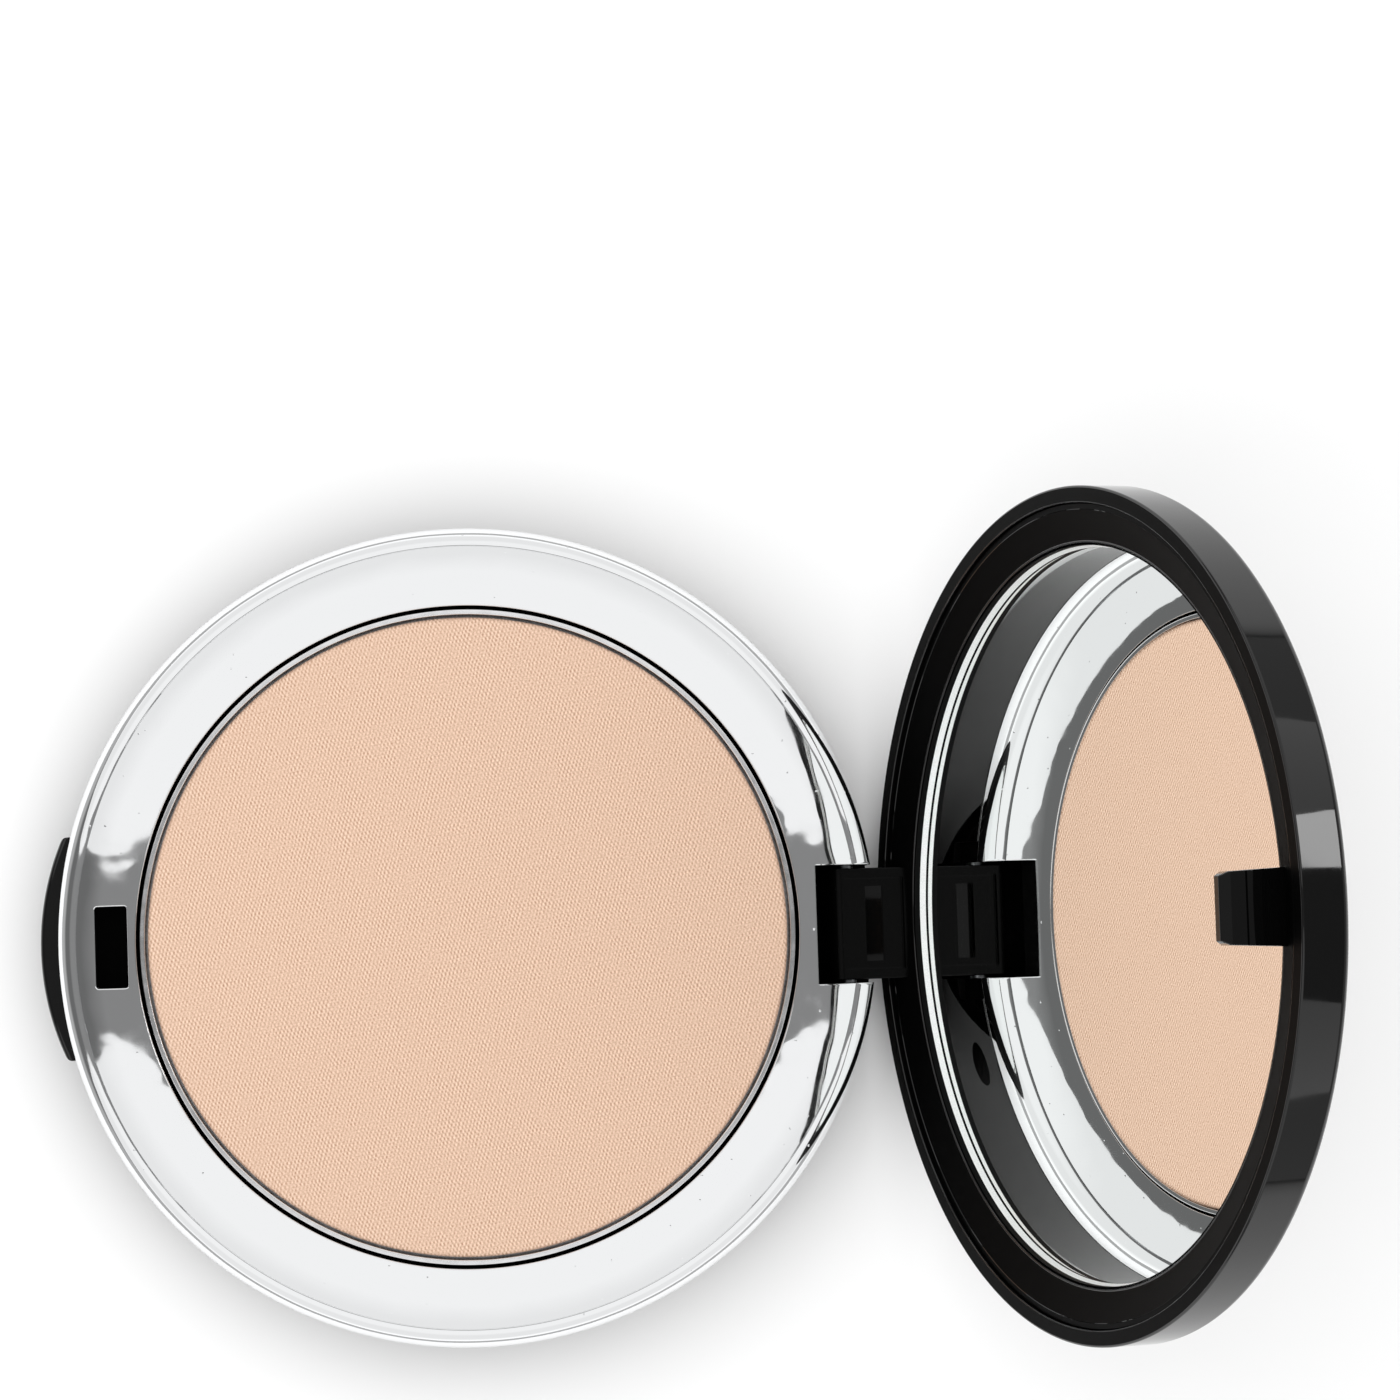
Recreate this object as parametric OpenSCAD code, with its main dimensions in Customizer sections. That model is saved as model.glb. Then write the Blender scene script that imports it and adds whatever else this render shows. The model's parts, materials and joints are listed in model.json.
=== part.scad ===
// Pressed powder compact with a mirrored lid, a pin hinge and a push-button latch.
// The origin is the centre of the face that the base rests on, with +Z up.
// The hinge is on the +X side, the button on the -X side.
// Every lid piece is drawn closed, then turned about the hinge to its open stop.

/* [Base] */
// Outer radius of the base
base_r = 38; // [37.9:0.1:38.4]
// Height from the resting face to the top of the domed ring
base_h = 11; // [10.8:0.1:12.5]
// Thickness of the base shell's side wall
shell_wall = 1.7; // [1.5:0.1:1.8]
// Thickness of the base shell's floor
shell_floor = 1.2; // [0.9:0.1:1.5]
// Corner radius of the bright ring's outer lip
lip_round = 1.7; // [1.5:0.1:1.8]
// Height of the bright ring's outer skirt, from its lip down to the black shell
skirt_h = 2.1; // [2:0.1:2.2]
// Corner radius at the foot of the shell
foot_round = 1.5; // [0.8:0.1:2]
// How far the domed ring falls from its inner edge to the lip
dome_drop = 0.95; // [0.9:0.05:1]
// Radius of the arc that crowns the domed ring
dome_arc = 19.5; // [19.4:0.1:19.6]

/* [Powder pan] */
// Outer radius of the metal pan
pan_r = 30.3; // [30:0.1:30.35]
// Height of the metal pan
pan_h = 4.2; // [3.6:0.1:4.3]
// Wall thickness of the metal pan
pan_wall = 0.5; // [0.3:0.05:0.6]
// Radius of the pressed powder's flat top
powder_r = 29.15; // [28.6:0.05:29.3]
// How far the powder sits below the pan's rim
powder_drop = 0.3; // [0.1:0.1:0.8]

/* [Lid] */
// Outer radius of the lid
lid_r = 37.6; // [37.4:0.1:37.7]
// Height of the lid's side, from its rim to its top edge
lid_h = 4.7; // [4.6:0.1:5.2]
// How far the lid's top rises to its middle
lid_crown = 0.5; // [0:0.1:1.2]
// Width of the lid's flat rim
rim_w = 1.5; // [1.3:0.1:1.6]
// Corner radius around the lid's top edge
lid_round = 0.8; // [0.4:0.1:1]
// Angle between the closed lid and its open stop
lid_open = 112; // [112:1:112]

/* [Mirror] */
// Radius of the mirror glass
mirror_r = 32.5; // [32:0.1:32.55]
// Thickness of the mirror glass
mirror_t = 1.8; // [1.5:0.1:1.9]
// Depth of the glass below the lid's rim
mirror_depth = 1.35; // [1.3:0.05:1.5]
// Thickness of each double-sided adhesive pad
pad_t = 0.2; // [0.1:0.05:0.3]

/* [Hinge] */
// Distance from the base's axis to the hinge axis
hinge_x = 35.4; // [35.3:0.1:35.5]
// Depth of the hinge axis below the lid's rim plane
hinge_drop = 4.37; // [4.3:0.01:4.4]
// Radius of the hinge pin
pin_r = 0.8; // [0.6:0.05:0.9]
// Length of the hinge pin
pin_len = 16; // [15:0.5:16.5]
// Running clearance around the pin in the lid's lug
pin_gap = 0.05; // [0.02:0.01:0.09]
// Width of the lid's hinge lug
lug_w = 10.4; // [9.6:0.1:10.6]
// Half the thickness of the lid's hinge lug
lug_half = 2.1; // [2:0.05:2.15]
// Width of the notch in the base that the lug swings in
notch_w = 10.97; // [10.9:0.01:11.2]

/* [Latch] */
// Length of the latch slot around the ring
slot_len = 7.48; // [7:0.02:8]
// Width of the latch slot across the ring
slot_w = 2.95; // [2.9:0.05:3]
// Distance from the base's axis to the slot's outer edge
slot_out = 34.34; // [34.3:0.02:34.4]
// Reach of the hook below the lid's rim
hook_len = 5.4; // [5:0.1:5.6]
// Width of the hook at its tip
hook_w = 6; // [5:0.1:6.2]
// Thickness of the hook's shank
hook_t = 1.1; // [0.9:0.1:1.2]
// Width of the push button
button_w = 20.7; // [18:0.1:20.8]
// Height of the push button
button_h = 5; // [4.6:0.1:5]
// Distance from the base's axis to the middle of the button's face
button_face = 39.6; // [39.2:0.1:39.8]
// Radius of the button's curved face
button_arc = 25; // [24:0.5:27]

/* [Hidden] */
$fn = 180;
eps = 0.01;
far = 60;

// Levels above the resting face
lip_z = base_h - dome_drop - 0.05;
rim_z = lip_z + 0.1;
hinge_z = rim_z - hinge_drop;
deck_floor_z = 5.4;
deck_floor_t = 0.9;
deck_under_z = 9;
seat_z = lip_z - skirt_h;
pan_z = deck_floor_z + deck_floor_t + pad_t;
powder_z = pan_z + pan_h - powder_drop;
button_mid_z = 5.2;
spring_z = 2.7;

// Radii about the base's axis
cavity_r = base_r - shell_wall;
crease_r = cavity_r - 0.1;
crease_depth = 0.3;
well_r = pan_r + 0.3;
well_wall = 0.75;
powder_side_r = powder_r + 0.4;
seat_chamfer = 0.15;
label_r = 26;
label_t = 0.15;
pad_r = 24;

// Domed ring: centre of the arc that crowns it
dome_r0 = 29.88;
dome_z0 = base_h - sqrt(pow(dome_arc, 2) - pow(well_r + 0.3 - dome_r0, 2));

// Ribs that carry the ring, and posts that carry its floor
rib_angles = [40, 65, 90, 115, 140];
rib_w = 1.2;
rib_len = 1.5;
post_r = 2;
post_ring_r = 24;
push_out_r = 3;

// Hinge ears and the pocket beside each one
ear_w = 3.1;
ear_in_x = 33.6;
pocket_w = 1.95;
pocket_x = 36.5;
pocket_z = hinge_z - 0.75;
notch_x = 32.29;
notch_floor_z = 3.1;
stop_gap = 0.03;

// Lid frame: ledge just inside the rim, then a slope down to the glass
inner_r = lid_r - rim_w;
frame_r = inner_r - 0.05;
ledge_w = 0.55;
ledge_depth = 0.35;
glass_seat_r = mirror_r + 0.1;
plate_depth = mirror_depth + mirror_t + pad_t;
rim_round = 0.2;

// Lug corners, the panel sunk in its face and the collar of the hook
lug_in_round = 0.8;
lug_out_round = 1.2;
panel_w = 8.6;
panel_depth = 0.3;
hook_in_x = -(glass_seat_r + 0.1);
barb = 0.45;
barb_z = [0.8, 2.3, 2.6];

// Button: its sliding gap, and the flange that keeps it in the shell
button_gap = 0.1;
flange_w = 24.8;
flange_h = 6;
flange_r = [35.5, 36.1];
button_round = 0.6;

// Leaf spring: a strip bowed between two posts and the button's flange
leaf_t = 0.3;
leaf_h = 1.6;
leaf_span = 21;
leaf_bow = 3.25;
leaf_out_x = flange_r[0] - 0.03;
leaf_r = (pow(leaf_span / 2, 2) + pow(leaf_bow, 2)) / (2 * leaf_bow);
leaf_cx = leaf_r - leaf_out_x;
spring_post_r = 1;
spring_post_h = 3.4;
spring_post_y = 10.4;

// Turns whatever is drawn in the closed lid's place to the open stop
module in_lid_pose() {
    translate([hinge_x, 0, hinge_z])
        rotate([0, lid_open, 0])
            translate([-hinge_x, 0, -hinge_z])
                children();
}

// A box given by its lowest and highest corners
module box(low, high) {
    translate(low)
        cube(high - low);
}

// Half profile of a turned disc with rounded upper and lower corners
module rounded_disc_profile(r, h, top, foot) {
    square([r - top, h]);
    square([r - foot, h - top]);
    translate([0, foot])
        square([r, h - top - foot]);
    translate([r - top, h - top])
        circle(top);
    translate([r - foot, foot])
        circle(foot);
}

// Height of the slope that the lug rests on at its open stop, at a given x
function stop_z(x) =
    hinge_z + (cos(lid_open) * (x - hinge_x) - lug_half - stop_gap) / sin(lid_open);

// Where that slope meets the level floor of the notch
function stop_x(z) =
    hinge_x + (sin(lid_open) * (z - hinge_z) + lug_half + stop_gap) / cos(lid_open);

// The notch that the lug swings in, with the sloping stop in the shell's wall
module hinge_notch() {
    out_x = base_r + 1;
    translate([0, notch_w / 2, 0])
        rotate([90, 0, 0])
            linear_extrude(notch_w)
                polygon([
                    [notch_x, base_h + 1],
                    [notch_x, notch_floor_z],
                    [stop_x(notch_floor_z), notch_floor_z],
                    [out_x, stop_z(out_x)],
                    [out_x, base_h + 1]]);
}

// Half profile of the shell before it is hollowed: rounded foot, chamfered seat
module shell_profile() {
    foot_r = base_r - foot_round;
    polygon([
        [0, 0],
        [foot_r, 0],
        [foot_r, foot_round],
        [base_r, foot_round],
        [base_r, seat_z - seat_chamfer],
        [base_r - seat_chamfer, seat_z],
        [0, seat_z]]);
    translate([foot_r, foot_round])
        circle(foot_round);
}

// Ribs and hinge ears inside the shell, up to a level and out to a radius
module inner_walls(top_z, out_r) {
    ear_y = notch_w / 2;
    intersection() {
        translate([0, 0, shell_floor - eps])
            cylinder(r = out_r, h = top_z - shell_floor + eps);
        union() {
            for (side = [-1, 1], a = rib_angles)
                rotate([0, 0, side * a])
                    box([cavity_r - rib_len, -rib_w / 2, 0], [far, rib_w / 2, base_h]);
            for (side = [-1, 1])
                translate([0, side * (ear_y + ear_w / 2), 0])
                    box([ear_in_x, -ear_w / 2, 0], [far, ear_w / 2, base_h]);
        }
    }
}

// Lower shell: black cup with ribs, hinge ears and a button window open at the top
module base_shell() {
    button_low = button_mid_z - button_h / 2 - button_gap;
    color([0.04, 0.04, 0.045])
    difference() {
        union() {
            rotate_extrude()
                difference() {
                    shell_profile();
                    translate([0, shell_floor])
                        square([cavity_r, base_h]);
                }
            inner_walls(seat_z, cavity_r + 0.5);
            inner_walls(deck_under_z, cavity_r - 0.1);
            for (side = [-1, 1])
                translate([spring_post_x(), side * spring_post_y, shell_floor - eps])
                    cylinder(r = spring_post_r, h = spring_post_h);
        }
        hinge_notch();
        for (side = [0, 1])
            mirror([0, side, 0])
                box([pocket_x, notch_w / 2 - 1, pocket_z],
                    [base_r + 1, notch_w / 2 + pocket_w, base_h]);
        translate([hinge_x, pin_len / 2, hinge_z])
            rotate([90, 0, 0])
                cylinder(r = pin_r, h = far);
        box([-base_r - 1, -button_w / 2 - button_gap, button_low],
            [-cavity_r + 2, button_w / 2 + button_gap, base_h]);
        translate([0, 0, -eps])
            cylinder(r = label_r + 0.05, h = label_t + eps);
    }
}

// Where each spring post touches the inside of the bowed strip
function spring_post_x() =
    leaf_cx - sqrt(pow(leaf_r - leaf_t - spring_post_r - 0.02, 2) - pow(spring_post_y, 2));

// Half profile of the bright ring: crowned flange, crease and rounded outer lip
module ring_profile() {
    lip_low = lip_z - lip_round;
    intersection() {
        translate([well_r, deck_floor_z])
            square([crease_r - well_r, base_h]);
        translate([dome_r0, dome_z0])
            circle(dome_arc, $fn = 720);
        union() {
            translate([0, deck_floor_z])
                square([well_r + well_wall, base_h]);
            translate([0, deck_under_z])
                square([crease_r, base_h]);
        }
    }
    translate([crease_r - eps, deck_under_z])
        square([cavity_r - crease_r + 2 * eps, lip_z - crease_depth - deck_under_z]);
    translate([cavity_r, seat_z])
        square([lip_round, lip_low - seat_z + eps]);
    translate([cavity_r, lip_low])
        intersection() {
            circle(lip_round);
            square(lip_round);
        }
}

// Bright ring: flange and lip around the well that holds the pan
module base_deck() {
    slot_half = slot_len / 2;
    color("gainsboro")
    difference() {
        union() {
            rotate_extrude()
                ring_profile();
            translate([0, 0, deck_floor_z])
                cylinder(r = well_r + eps, h = deck_floor_t);
            for (a = [45 : 90 : 315])
                rotate([0, 0, a])
                    translate([post_ring_r, 0, shell_floor])
                        cylinder(r = post_r, h = deck_floor_z - shell_floor + eps);
        }
        box([notch_x, -notch_w / 2, deck_floor_z - 1], [far, notch_w / 2, base_h + 1]);
        box([-slot_out, -slot_half, deck_under_z - 1], [-slot_out + slot_w, slot_half, base_h + 1]);
        translate([0, 0, deck_floor_z - 1])
            cylinder(r = push_out_r, h = 3);
    }
}

// Drawn metal pan with a rounded rim
module powder_pan() {
    color("lightgray")
    translate([0, 0, pan_z])
        rotate_extrude()
            difference() {
                rounded_disc_profile(pan_r, pan_h, pan_wall / 2 - eps, pan_wall);
                translate([0, pan_wall])
                    square([pan_r - pan_wall, pan_h]);
            }
}

// Pressed powder, with its top edge broken by a small chamfer
module powder_cake() {
    low = pan_z + pan_wall;
    chamfer = powder_side_r - powder_r;
    color("peachpuff") {
        translate([0, 0, low])
            cylinder(r = powder_side_r, h = powder_z - chamfer - low);
        translate([0, 0, powder_z - chamfer])
            cylinder(r1 = powder_side_r, r2 = powder_r, h = chamfer);
    }
}

// Double-sided disc that holds the pan on the well's floor
module pan_adhesive() {
    color("ivory")
    translate([0, 0, pan_z - pad_t])
        difference() {
            cylinder(r = pad_r, h = pad_t);
            translate([0, 0, -eps])
                cylinder(r = push_out_r, h = pad_t + 2 * eps);
        }
}

// Outline of the button's face piece, turned about the face's own centre
module button_face_profile() {
    low = button_mid_z - button_h / 2;
    translate([button_arc - 6, low])
        square([6 - button_round, button_h]);
    translate([button_arc - 6, low + button_round])
        square([6, button_h - 2 * button_round]);
    for (z = [low + button_round, low + button_h - button_round])
        translate([button_arc - button_round, z])
            circle(button_round);
}

// Push button: curved face piece on a flange that stays inside the shell
module push_button() {
    color([0.04, 0.04, 0.045])
    union() {
        difference() {
            intersection() {
                translate([button_arc - button_face, 0, 0])
                    rotate([0, 0, 135])
                        rotate_extrude(angle = 90)
                            button_face_profile();
                box([-far, -button_w / 2, 0], [0, button_w / 2, base_h]);
            }
            cylinder(r = flange_r[0], h = base_h);
        }
        intersection() {
            difference() {
                translate([0, 0, button_mid_z - flange_h / 2])
                    cylinder(r = flange_r[1], h = flange_h);
                cylinder(r = flange_r[0], h = base_h);
            }
            box([-far, -flange_w / 2, 0], [0, flange_w / 2, base_h]);
        }
    }
}

// Bowed steel strip that pushes the button back out
module button_spring() {
    color("lightsteelblue")
    intersection() {
        translate([leaf_cx, 0, spring_z])
            difference() {
                cylinder(r = leaf_r, h = leaf_h);
                translate([0, 0, -1])
                    cylinder(r = leaf_r - leaf_t, h = leaf_h + 2);
            }
        box([-far, -leaf_span / 2 - 0.8, 0], [-leaf_span, leaf_span / 2 + 0.8, base_h]);
    }
}

// Steel pin, held in both ears, that the lid's lug turns on
module hinge_pin() {
    color("slategray")
    translate([hinge_x, -pin_len / 2, hinge_z])
        rotate([-90, 0, 0])
            cylinder(r = pin_r, h = pin_len);
}

// Blank round label, flush in the base's underside
module base_label() {
    color("white")
    cylinder(r = label_r, h = label_t);
}

// Height of the lid's crowned top at a distance from its middle
function crown_at(r) = lid_crown * (1 - pow(r / (lid_r - lid_round), 2));

// Outer shell of the lid: rim, side wall and crowned top
module lid_cover() {
    steps = 12;
    top_r = lid_r - lid_round;
    color([0.03, 0.03, 0.035])
    in_lid_pose()
        translate([0, 0, rim_z])
            rotate_extrude()
                difference() {
                    union() {
                        rounded_disc_profile(lid_r, lid_h, lid_round, rim_round);
                        polygon(concat(
                            [[0, lid_h - eps]],
                            [[top_r, lid_h - eps]],
                            [for (i = [steps : -1 : 0])
                                let (r = top_r * i / steps)
                                [r, lid_h + crown_at(r)]]));
                    }
                    translate([0, -eps])
                        square([inner_r, plate_depth + eps]);
                }
}

// Side outline of the hinge lug, with the hinge axis at its origin
module lug_profile() {
    top = hinge_drop;
    translate([-lug_half, lug_in_round - lug_half])
        square([lug_half, top + lug_half - lug_in_round]);
    translate([0, lug_out_round - lug_half])
        square([lug_half, top + lug_half - lug_out_round]);
    translate([lug_in_round - lug_half, -lug_half])
        square([2 * lug_half - lug_in_round - lug_out_round, top + lug_half]);
    translate([lug_in_round - lug_half, lug_in_round - lug_half])
        circle(lug_in_round);
    translate([lug_half - lug_out_round, lug_out_round - lug_half])
        circle(lug_out_round);
}

// Hinge lug: a block that hangs from the lid's frame and turns on the pin
module hinge_lug() {
    difference() {
        intersection() {
            union() {
                translate([hinge_x, lug_w / 2, hinge_z])
                    rotate([90, 0, 0])
                        linear_extrude(lug_w)
                            lug_profile();
                intersection() {
                    box([hinge_x - lug_half, -lug_w / 2, rim_z - 1],
                        [hinge_x + lug_half, lug_w / 2, rim_z + mirror_depth]);
                    cylinder(r = frame_r, h = far);
                }
            }
            cylinder(r = lid_r - 0.05, h = far);
        }
        translate([hinge_x, -far / 2, hinge_z])
            rotate([-90, 0, 0])
                cylinder(r = pin_r + pin_gap, h = far);
        box([hinge_x - lug_half - 1, -panel_w / 2, hinge_z - lug_half + 0.9],
            [hinge_x - lug_half + panel_depth, panel_w / 2, rim_z + 0.7]);
    }
}

// Side outline of the latch hook, with its tip at height zero
module hook_profile() {
    out_x = hook_in_x - hook_t;
    root = hook_len + mirror_depth;
    polygon([
        [hook_in_x, root],
        [hook_in_x, 0.6],
        [hook_in_x - 0.3, 0],
        [out_x + 0.05, 0],
        [out_x - barb, barb_z[0]],
        [out_x - barb, barb_z[1]],
        [out_x, barb_z[2]],
        [out_x, root]]);
}

// Latch hook: a springy shank with an outward barb and a tapered tip
module latch_hook() {
    root_w = hook_w + 0.5;
    corner = 0.35;
    root = hook_len + mirror_depth;
    translate([0, 0, rim_z - hook_len])
        intersection() {
            translate([0, far / 2, 0])
                rotate([90, 0, 0])
                    linear_extrude(far)
                        hook_profile();
            translate([-far, 0, 0])
                rotate([90, 0, 90])
                    linear_extrude(far)
                        polygon([
                            [-hook_w / 2 + corner, 0],
                            [hook_w / 2 - corner, 0],
                            [hook_w / 2, 2 * corner],
                            [root_w / 2, root],
                            [-root_w / 2, root],
                            [-hook_w / 2, 2 * corner]]);
        }
}

// Inner frame of the lid: ring around the glass, with the lug and the hook
module lid_frame() {
    color([0.06, 0.06, 0.065])
    in_lid_pose()
        union() {
            translate([0, 0, rim_z])
                rotate_extrude()
                    polygon([
                        [glass_seat_r, mirror_depth],
                        [glass_seat_r + 0.3, mirror_depth - 0.05],
                        [frame_r - ledge_w, ledge_depth],
                        [frame_r, ledge_depth],
                        [frame_r, plate_depth],
                        [glass_seat_r, plate_depth]]);
            hinge_lug();
            latch_hook();
        }
}

// Silvered glass disc
module mirror_glass() {
    color("lightcyan")
    in_lid_pose()
        translate([0, 0, rim_z + mirror_depth])
            cylinder(r = mirror_r, h = mirror_t);
}

// Double-sided disc that holds the glass in the lid
module mirror_adhesive() {
    color("ivory")
    in_lid_pose()
        translate([0, 0, rim_z + mirror_depth + mirror_t])
            cylinder(r = mirror_r - 1.5, h = pad_t);
}

base_shell();
base_deck();
powder_pan();
powder_cake();
pan_adhesive();
push_button();
button_spring();
hinge_pin();
base_label();
lid_cover();
lid_frame();
mirror_glass();
mirror_adhesive();
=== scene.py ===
"""Looks of a pressed powder compact: bright base, black lid, mirror and powder.

Lengths are in millimetres and angles in degrees until a mesh or a light is made.
Pieces of the lid are drawn closed, then turned about the hinge to the open stop.
"""
import json
import logging
import math
from dataclasses import dataclass
from enum import Enum
from typing import Callable, Iterable, Sequence

import bmesh
import bpy
import numpy as np
from mathutils import Matrix, Vector


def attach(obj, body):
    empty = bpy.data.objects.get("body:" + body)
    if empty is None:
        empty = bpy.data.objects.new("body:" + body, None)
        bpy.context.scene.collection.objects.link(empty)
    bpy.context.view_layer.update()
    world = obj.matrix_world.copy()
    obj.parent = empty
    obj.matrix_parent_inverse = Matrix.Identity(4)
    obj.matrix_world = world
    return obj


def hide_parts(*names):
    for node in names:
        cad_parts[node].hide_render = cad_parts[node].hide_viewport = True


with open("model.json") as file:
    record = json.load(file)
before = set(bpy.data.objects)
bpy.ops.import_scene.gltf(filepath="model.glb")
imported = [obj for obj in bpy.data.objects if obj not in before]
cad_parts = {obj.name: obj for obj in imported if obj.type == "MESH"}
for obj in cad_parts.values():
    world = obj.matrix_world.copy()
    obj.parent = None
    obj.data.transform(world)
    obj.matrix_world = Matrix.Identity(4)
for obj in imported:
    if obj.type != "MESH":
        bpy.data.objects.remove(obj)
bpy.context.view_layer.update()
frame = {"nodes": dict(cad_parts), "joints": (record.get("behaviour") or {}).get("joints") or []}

LOG = logging.getLogger("compact")
MM = 0.001
SAME_POINT = 1e-6  # points nearer than this are one, in millimetres
PAST = 2.0  # how far a cutter reaches past what it cuts, in millimetres
FOLD = 30.0  # an edge bent less than this is never rounded, in degrees
Point = tuple[float, float]
Span = tuple[float, float]


class Slot(Enum):
    """Material slots of the record."""

    METALLISED = "metallised_ring"
    BLACK = "black_plastic"
    PAN = "pan_aluminium"
    POWDER = "pressed_powder"
    MIRROR = "mirror"
    STEEL = "spring_steel"
    TAPE = "adhesive"
    LABEL = "label_paper"


class Body(Enum):
    """Rigid bodies of the frame."""

    BASE = "base"
    LID = "lid"
    BUTTON = "button"


# ---------------------------------------------------------------- colour and nodes


def linear(code: str, alpha: float = 1.0) -> tuple[float, float, float, float]:
    """Turns an sRGB hex colour into linear values.

    Args:
        code: Six hex digits after a "#".
        alpha: Opacity to put after the three colour values.

    Returns:
        Red, green, blue and alpha, with the colours linear.
    """
    parts = [int(code[i : i + 2], 16) / 255 for i in (1, 3, 5)]
    low = [c / 12.92 if c <= 0.04045 else ((c + 0.055) / 1.055) ** 2.4 for c in parts]
    return (*low, alpha)


def add_node(tree: bpy.types.NodeTree, kind: str, settings: dict | None = None,
             sockets: dict | None = None) -> bpy.types.Node:
    """Adds a shader node with its settings and links.

    Args:
        tree: Node tree to add to.
        kind: The node's type, such as "ShaderNodeBump".
        settings: Attribute values of the node.
        sockets: Input name or index to a value, or to the output socket it is fed by.

    Returns:
        The new node.
    """
    node = tree.nodes.new(kind)
    for name, value in (settings or {}).items():
        setattr(node, name, value)
    for name, value in (sockets or {}).items():
        if isinstance(value, bpy.types.NodeSocket):
            tree.links.new(value, node.inputs[name])
        else:
            node.inputs[name].default_value = value
    return node


def start_material(name: str, **sockets: object) -> tuple[bpy.types.Material, bpy.types.Node]:
    """Makes a material that holds one Principled shader.

    Args:
        name: Name of the material.
        **sockets: Socket names, with _ for a space, and their values.

    Returns:
        The material and its shader.
    """
    material = bpy.data.materials.new(name)
    material.use_nodes = True
    shader = material.node_tree.nodes["Principled BSDF"]
    for key, value in sockets.items():
        shader.inputs[key.replace("_", " ")].default_value = value
    return material, shader


def ramp(tree: bpy.types.NodeTree, source: bpy.types.NodeSocket, taken: Span,
         given: Span = (0.0, 1.0)) -> bpy.types.NodeSocket:
    """Maps a value from one range to another and holds it there.

    Args:
        tree: Node tree to add to.
        source: Socket with the value.
        taken: Input values at the two ends.
        given: Output values at the two ends.

    Returns:
        The socket with the mapped value.
    """
    limits = {"From Min": taken[0], "From Max": taken[1],
              "To Min": given[0], "To Max": given[1]}
    return add_node(tree, "ShaderNodeMapRange", None, {"Value": source, **limits}).outputs[0]


def place_in_mm(tree: bpy.types.NodeTree, turn: float = 0.0) -> bpy.types.NodeSocket:
    """Gives texture coordinates in millimetres, fixed to the piece.

    Args:
        tree: Node tree to add to.
        turn: Angle in degrees to turn them about the piece's upright axis.

    Returns:
        The socket with the coordinates.
    """
    place = add_node(tree, "ShaderNodeTexCoord")
    scaled = add_node(tree, "ShaderNodeMapping", {"vector_type": "POINT"}, {
        "Vector": place.outputs["Object"],
        "Rotation": (0, 0, math.radians(turn)),
        "Scale": (1 / MM,) * 3})
    return scaled.outputs[0]


# ------------------------------------------------------------------------ finishes
#
# A roughness given as two numbers is the least and the most over the surface, and
# "patches" are the noise values at which it reaches them.


@dataclass(frozen=True)
class MetallisedAbs:
    """ABS with a vacuum-metallised coat of aluminium under clear lacquer.

    The eye gets a nearly perfect mirror that the moulding's slow waves bend a little,
    with faint wipe marks and a few specks caught under the lacquer.
    """

    tint: str = "#F2F3F4"
    roughness: Span = (0.0245, 0.077)
    patches: Span = (0.35, 0.75)
    wipe_mm: float = 2.0
    wave_mm: float = 4.5
    wave_height_mm: float = 0.05
    speck_apart_mm: float = 1.7
    speck_share: float = 0.07
    speck_height_mm: float = 0.02

    def material(self) -> bpy.types.Material:
        """Builds the material."""
        material, shader = start_material("metallised_abs", Metallic=1.0,
                                          Base_Color=linear(self.tint))
        tree = material.node_tree
        place = place_in_mm(tree)
        waves = add_node(tree, "ShaderNodeTexNoise", None, {
            "Vector": place, "Scale": 1 / self.wave_mm, "Detail": 1.0})
        slow = add_node(tree, "ShaderNodeBump", None, {
            "Height": waves.outputs[0], "Distance": self.wave_height_mm * MM, "Strength": 1.0})
        cells = add_node(tree, "ShaderNodeTexVoronoi", {"feature": "F1"}, {
            "Vector": place, "Scale": 1 / self.speck_apart_mm})
        speck = ramp(tree, cells.outputs["Distance"], (0.0, self.speck_share), (1.0, 0.0))
        bumps = add_node(tree, "ShaderNodeBump", None, {
            "Height": speck, "Distance": self.speck_height_mm * MM, "Normal": slow.outputs[0]})
        wiped = add_node(tree, "ShaderNodeTexNoise", None, {
            "Vector": place, "Scale": 1 / self.wipe_mm, "Detail": 5.0})
        rough = ramp(tree, wiped.outputs[0], self.patches, self.roughness)
        tree.links.new(rough, shader.inputs["Roughness"])
        tree.links.new(bumps.outputs[0], shader.inputs["Normal"])
        return material


@dataclass(frozen=True)
class GlossBlackAbs:
    """Black ABS moulded in a polished tool.

    The eye gets deep black with a sharp sheen of the lights, softened a little by
    moulding flow and handling.
    """

    colour: str = "#050505"
    roughness: Span = (0.0245, 0.063)
    patches: Span = (0.3, 0.8)
    patch_mm: float = 3.33
    ior: float = 1.53
    wave_mm: float = 9.0
    wave_height_mm: float = 0.01

    def material(self) -> bpy.types.Material:
        """Builds the material."""
        material, shader = start_material("gloss_black_abs", Base_Color=linear(self.colour),
                                          IOR=self.ior)
        tree = material.node_tree
        place = place_in_mm(tree)
        waves = add_node(tree, "ShaderNodeTexNoise", None, {
            "Vector": place, "Scale": 1 / self.wave_mm, "Detail": 2.0})
        bump = add_node(tree, "ShaderNodeBump", None, {
            "Height": waves.outputs[0], "Distance": self.wave_height_mm * MM})
        handled = add_node(tree, "ShaderNodeTexNoise", None, {
            "Vector": place, "Scale": 1 / self.patch_mm, "Detail": 6.0})
        rough = ramp(tree, handled.outputs[0], self.patches, self.roughness)
        tree.links.new(rough, shader.inputs["Roughness"])
        tree.links.new(bump.outputs[0], shader.inputs["Normal"])
        return material


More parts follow.
